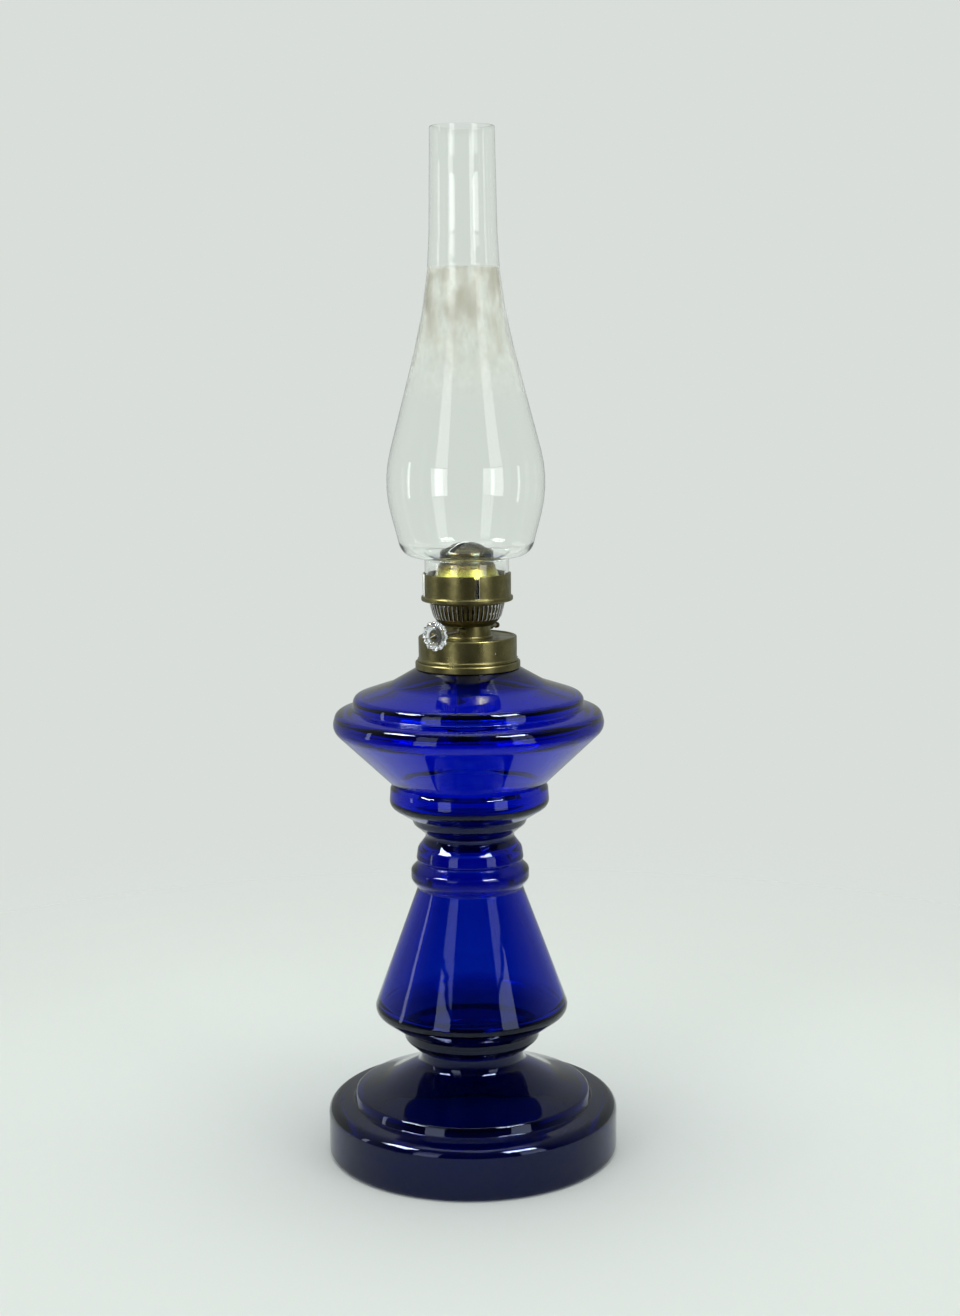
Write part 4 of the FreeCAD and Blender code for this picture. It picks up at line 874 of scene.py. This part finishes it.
chimneyGlass = {
    "fitter": 20.0, "bulb": 39.4, "stackFoot": 16.4, "stackTop": 15.1, "wall": 1.2, "lip": 0.45,
    "creaseAngle": 80,
    "shape": {"Segments": 128, "Wave Height": 0.12 * mm, "Wave Size": 30 * mm, "Seed": 8},
    "outline": {"stepAngle": 6, "longestRun": 4},
}


def makeChimney():
    # straight fitter, round-bottomed bulb and a long tapering stack, all one blown wall
    fitter, bulb, wall = chimneyGlass["fitter"], chimneyGlass["bulb"], chimneyGlass["wall"]
    stackFoot, stackTop, lip = chimneyGlass["stackFoot"], chimneyGlass["stackTop"], chimneyGlass["lip"]
    corners = [
        (fitter, 0, 0.5), (fitter, 19.4, 1.6), (30.6, 21.6, 15.0), (bulb, 55.4, 60.0),
        (stackFoot, 143.4, 230.0), (stackTop, 218.2, lip), (stackTop - wall, 218.2, lip),
        (stackFoot - wall, 143.4, 231.0), (bulb - wall, 55.4, 58.8), (29.64, 22.58, 13.8),
        (fitter - wall, 20.38, 2.8), (fitter - wall, 0, 0.5),
    ]
    piece = turned("chimney_glass", corners, floorOf("chimney"), material["clear"], closed=True,
                   sizes=chimneyGlass["shape"], fine=chimneyGlass["outline"])
    crease(piece, chimneyGlass["creaseAngle"])
    finishPiece(piece, "chimney", "clear_glass", "chimney")


collar = {
    "threadDepth": 0.35, "threadPitch": 1.3, "threadLow": 4.2, "threadHigh": 10.0, "segments": 96,
    "outline": {"longestRun": 0.25},
}


def makeCollar():
    bottom = floorOf("collar_ring")
    corners = [
        (25.0, 0, 0.2), (25.0, 3.4, 0.8), (21.9, 3.4), (21.9, 10.8, 0.4), (16.6, 10.8, 0.2),
        (16.6, 10.3, 0.2), (21.4, 10.3), (21.4, 2.9), (24.5, 2.9, 0.3), (24.5, 0, 0.2),
    ]
    piece = turned("threaded_collar", corners, bottom, material["aged"], closed=True, sizes={
        "Segments": collar["segments"],
        "Thread Depth": collar["threadDepth"] * mm, "Thread Pitch": collar["threadPitch"] * mm,
        "Thread Low": bottom + collar["threadLow"] * mm, "Thread High": bottom + collar["threadHigh"] * mm,
    }, fine=collar["outline"])
    finishPiece(crease(piece), "lamp_base", "aged_brass", "collar_ring")


drum = {
    "vent": 0.45, "ventHeight": 5.6, "ventTurn": 71, "ventOut": 23, "drillLength": 12,
    "shape": {"Segments": 128, "Wave Height": 0.05 * mm, "Wave Size": 14 * mm, "Seed": 5},
    "outline": {"longestRun": 1.5},
}


def makeDrum():
    bottom = floorOf("burner_cap")
    corners = [
        (22.9, 0), (23.9, 0, 0.3), (23.9, 1.2, 0.3), (23.4, 1.6, 0.15), (23.4, 11.7, 0.8), (22.0, 11.7, 0.35),
        (21.6, 11.2, 0.2), (10.5, 11.2), (10.5, 10.7), (22.9, 10.7, 0.4),
    ]
    piece = turned("burner_drum", corners, bottom, material["aged"], closed=True, sizes=drum["shape"],
                   fine=drum["outline"])
    drill = peg((0, 0, 0), drum["vent"] * mm, drum["drillLength"] * mm)
    place = Matrix.Translation((0, -drum["ventOut"] * mm, bottom + drum["ventHeight"] * mm))
    drill.transform(place @ Matrix.Rotation(math.pi / 2, 4, "X"))
    cutAway(piece, drill, firstAngle=math.radians(drum["ventTurn"]))
    finishPiece(crease(piece), "burner", "aged_brass", "burner_cap")


throat = {
    "inside": 10.5, "outside": 11.0, "height": 5.9, "bore": 1.6, "drillLength": 40, "drillSides": 24,
    "shape": {"Segments": 96}, "outline": {"longestRun": 1.0},
}


def makeNeck():
    inside, outside, height = throat["inside"], throat["outside"], throat["height"]
    corners = [
        (inside, 0), (12.2, 0, 0.15), (12.2, 0.5, 0.2), (outside, 0.6, 0.4), (outside, height),
        (inside, height),
    ]
    piece = turned("burner_throat", corners, floorOf("burner_neck"), material["aged"], closed=True,
                   sizes=throat["shape"], fine=throat["outline"])
    bore = peg((0, 0, 0), throat["bore"] * mm, throat["drillLength"] * mm, throat["drillSides"])
    bore.transform(Matrix.Translation(spindleCentre) @ Matrix.Rotation(math.pi / 2, 4, "X"))
    cutAway(piece, bore)
    finishPiece(crease(piece), "burner", "aged_brass", "burner_neck")


def airSlot(slots, bottom):
    # one upright slot through a wall that stands between the two radii
    low = (slots["from"] * mm, -slots["width"] / 2 * mm, bottom + slots["low"] * mm)
    return block(low, (slots["to"] * mm, slots["width"] / 2 * mm, bottom + slots["high"] * mm))


basket = {
    "slots": {"count": 46, "width": 1.1, "low": 3.2, "high": 10.5, "from": 12, "to": 20, "turn": -90.0},
    "creaseAngle": 40, "shape": {"Segments": 184}, "outline": {"longestRun": 1.2},
}


def makeBasket():
    bottom = floorOf("air_basket")
    slots = basket["slots"]
    corners = [
        (10.5, 0), (12.5, 0, 0.4), (14.6, 1.8, 0.4), (16.2, 4.2, 0.8), (17.3, 8.0), (18.1, 11.5),
        (17.7, 11.5), (16.9, 8.0), (15.8, 4.2), (14.2, 2.1), (12.3, 0.4), (10.5, 0.4),
    ]
    piece = turned("air_basket_pierced", corners, bottom, material["dark"], closed=True,
                   sizes=basket["shape"], fine=basket["outline"])
    cutAway(piece, airSlot(slots, bottom), slots["count"], math.radians(slots["turn"]))
    finishPiece(crease(piece, basket["creaseAngle"]), "burner", "dark_brass", "air_basket")


gallery = {
    "slots": {"count": 4, "width": 2.4, "low": 2.6, "high": 14.0, "from": 19, "to": 23, "turn": 51.0},
    "shape": {"Segments": 144, "Wave Height": 0.05 * mm, "Wave Size": 12 * mm, "Seed": 11},
    "outline": {"longestRun": 1.5},
}


def makeGallery():
    bottom = floorOf("chimney_gallery")
    slots = gallery["slots"]
    corners = [
        (17.0, 0), (21.8, 0, 0.8), (21.8, 2.2, 0.8), (20.9, 2.4, 0.2), (20.9, 13.1, 0.15), (20.4, 13.1, 0.15),
        (20.4, 0.5), (17.0, 0.5),
    ]
    piece = turned("chimney_holder", corners, bottom, material["aged"], closed=True, sizes=gallery["shape"],
                   fine=gallery["outline"])
    cutAway(piece, airSlot(slots, bottom), slots["count"], math.radians(slots["turn"]))
    finishPiece(crease(piece), "burner", "aged_brass", "chimney_gallery")


deflector = {
    "slotWidth": 3.3, "slotReach": 16, "slotDepth": 5.8, "slotAbove": 2, "creaseAngle": 38,
    "shape": {"Segments": 128}, "outline": {"longestRun": 1.2},
}


def makeDeflector():
    bottom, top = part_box("deflector_dome")
    corners = [
        (18.3, 0, 0.15), (18.3, 0.8, 0.3), (15.5, 10.9, 1.0), (13.6, 15.4, 0.8), (13.6, 16.2, 0.2),
        (12.9, 17.0, 0.3), (12.9, 20.6, 7.5), (7.0, 26.4, 12.0), (0, 27.4), (0, 27.0), (6.84, 26.0, 12.0),
        (12.5, 20.44, 7.5), (12.5, 17.0), (13.2, 15.4, 0.5), (15.1, 10.9), (17.9, 0.8), (17.9, 0, 0.15),
    ]
    piece = turned("flame_deflector", corners, bottom.z, material["heat"], closed=True,
                   sizes=deflector["shape"], fine=deflector["outline"])
    half, reach = deflector["slotWidth"] / 2 * mm, deflector["slotReach"] * mm
    low = (-half, -reach, top.z - deflector["slotDepth"] * mm)
    cutAway(piece, block(low, (half, reach, top.z + deflector["slotAbove"] * mm)))
    finishPiece(crease(piece, deflector["creaseAngle"]), "deflector", "heat_toned_brass", "deflector_dome")


knob = {
    "rim": 6.9, "lobes": 12, "lobeDepth": 0.75, "lobeStart": 4.9, "lobeBlend": 1.2, "segments": 192,
    "creaseAngle": 60, "notch": 0.4, "notchDepth": 0.2, "notchTurn": 0.5, "pinSegments": 32,
    "outline": {"stepAngle": 15, "longestRun": 0.6},
}


def makeKnob():
    # pressed glass knob: scalloped edge, a raised bead ring, a dished centre
    face = (spindleCentre.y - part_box("wick_knob")[0].y) / mm
    rim = knob["rim"]
    corners = [
        (1.0, face - 3.2), (5.6, face - 3.2, 0.5), (rim, face - 2.6, 0.6), (rim, face - 0.9, 0.6),
        (5.9, face - 0.35, 0.3), (5.0, face - 0.75, 0.3), (4.4, face, 0.35), (3.7, face, 0.35),
        (3.2, face - 0.8, 0.4), (1.0, face - 0.7),
    ]
    piece = turned("wick_knob_glass", corners, 0, material["pressed"], closed=True, sizes={
        "Segments": knob["segments"], "Lobes": knob["lobes"], "Lobe Depth": knob["lobeDepth"] * mm,
        "Lobe Start": knob["lobeStart"] * mm, "Lobe Blend": knob["lobeBlend"] * mm,
    }, fine=knob["outline"])
    crease(piece, knob["creaseAngle"])
    alongSpindle(piece)
    finishPiece(piece, "wick_raiser", "pressed_glass", "wick_knob")

    # the pin through its centre, with a slot for a driver
    pin = turned("knob_pin", [
        (0, face - 0.7), (1.6, face - 0.7), (1.6, face, 0.5), (0.9, face + 0.3), (0, face + 0.3),
    ], 0, material["dark"], sizes={"Segments": knob["pinSegments"]})
    half = knob["notch"] / 2 * mm
    notch = block((-2 * mm, -half, (face - knob["notchDepth"]) * mm), (2 * mm, half, (face + 1) * mm))
    cutAway(pin, notch, firstAngle=knob["notchTurn"])
    alongSpindle(crease(pin))
    finishPiece(pin, "wick_raiser", "dark_brass", "knob_screw")


wickTape = {"Rows": 233, "Around": 97, "Yarn": 1.3 * mm, "Hump": 0.12 * mm}


def makeWick():
    low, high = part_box("wick")
    width, thickness = high.y - low.y, high.x - low.x
    mesh = bpy.data.meshes.new("wick_tape")
    piece = runTree(newPiece("wick_tape", mesh), wovenTree(), material["wick"], {
        **wickTape, "Width": width, "Thickness": thickness, "Bottom": low.z, "Top": high.z,
    })
    shape = bmesh.new()
    shape.from_mesh(piece.data)
    bmesh.ops.holes_fill(shape, edges=[e for e in shape.edges if e.is_boundary])
    if shape.calc_volume(signed=True) < 0:
        bmesh.ops.reverse_faces(shape, faces=shape.faces)
    shape.to_mesh(piece.data)
    shape.free()
    finishPiece(piece, "wick_tape", "cotton_wick", "wick")


def paintKept():
    # the inner fittings keep their own solids and only get their finish
    finishes = {
        "steel": ["wick_spindle"],
        "plaster": ["collar_plaster"],
        "aged": [
            "thread_ring", "burner_floor", "wick_tube", "vent_tube", "front_bush", "back_bush", "knob_ferrule",
        ],
        "dark": ["diffuser_plate", "spur_wheel_front", "spur_wheel_back", "spindle_end_cap"],
    }
    for finish, names in finishes.items():
        for name in names:
            node = nodes[name]
            if not node.material_slots:
                node.data.materials.append(material[finish])
            for slot in node.material_slots:
                slot.material = material[finish]


turnedOutline = turnedTree()
repeated = repeatedTree()
deflectorLow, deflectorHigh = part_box("deflector_dome")
levels = {"ankle": 66 * mm, "neckAboveFont": 90 * mm, "sootStart": 92 * mm, "sootEnd": 155 * mm}
fontFloor = floorOf("glass_font")
chimneyFloor = floorOf("chimney")
material = {
    "cobalt": cobaltGlass(fontFloor, levels["ankle"], fontFloor + levels["neckAboveFont"]),
    "clear": clearGlass(chimneyFloor + levels["sootStart"], chimneyFloor + levels["sootEnd"]),
    "pressed": pressedGlass(),
    "aged": brass("aged brass", brassLooks["aged"]),
    "dark": brass("dark brass", brassLooks["dark"]),
    "heat": heatTonedBrass(deflectorLow.z, deflectorHigh.z),
    "steel": steelWire(),
    "plaster": plaster(),
    "wick": cottonWick(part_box("wick")[1].z),
}
print("materials made:", len(material))

makeCamera()
makeLights()
makeWorld()
makeFloor()
print("camera, light and floor made")

for make in (
    makeGlassBody, makeChimney, makeCollar, makeDrum, makeNeck, makeBasket, makeGallery, makeDeflector,
    makeKnob, makeWick, paintKept,
):
    make()
    print("done:", make.__name__)

scene.view_settings.view_transform = "Standard"
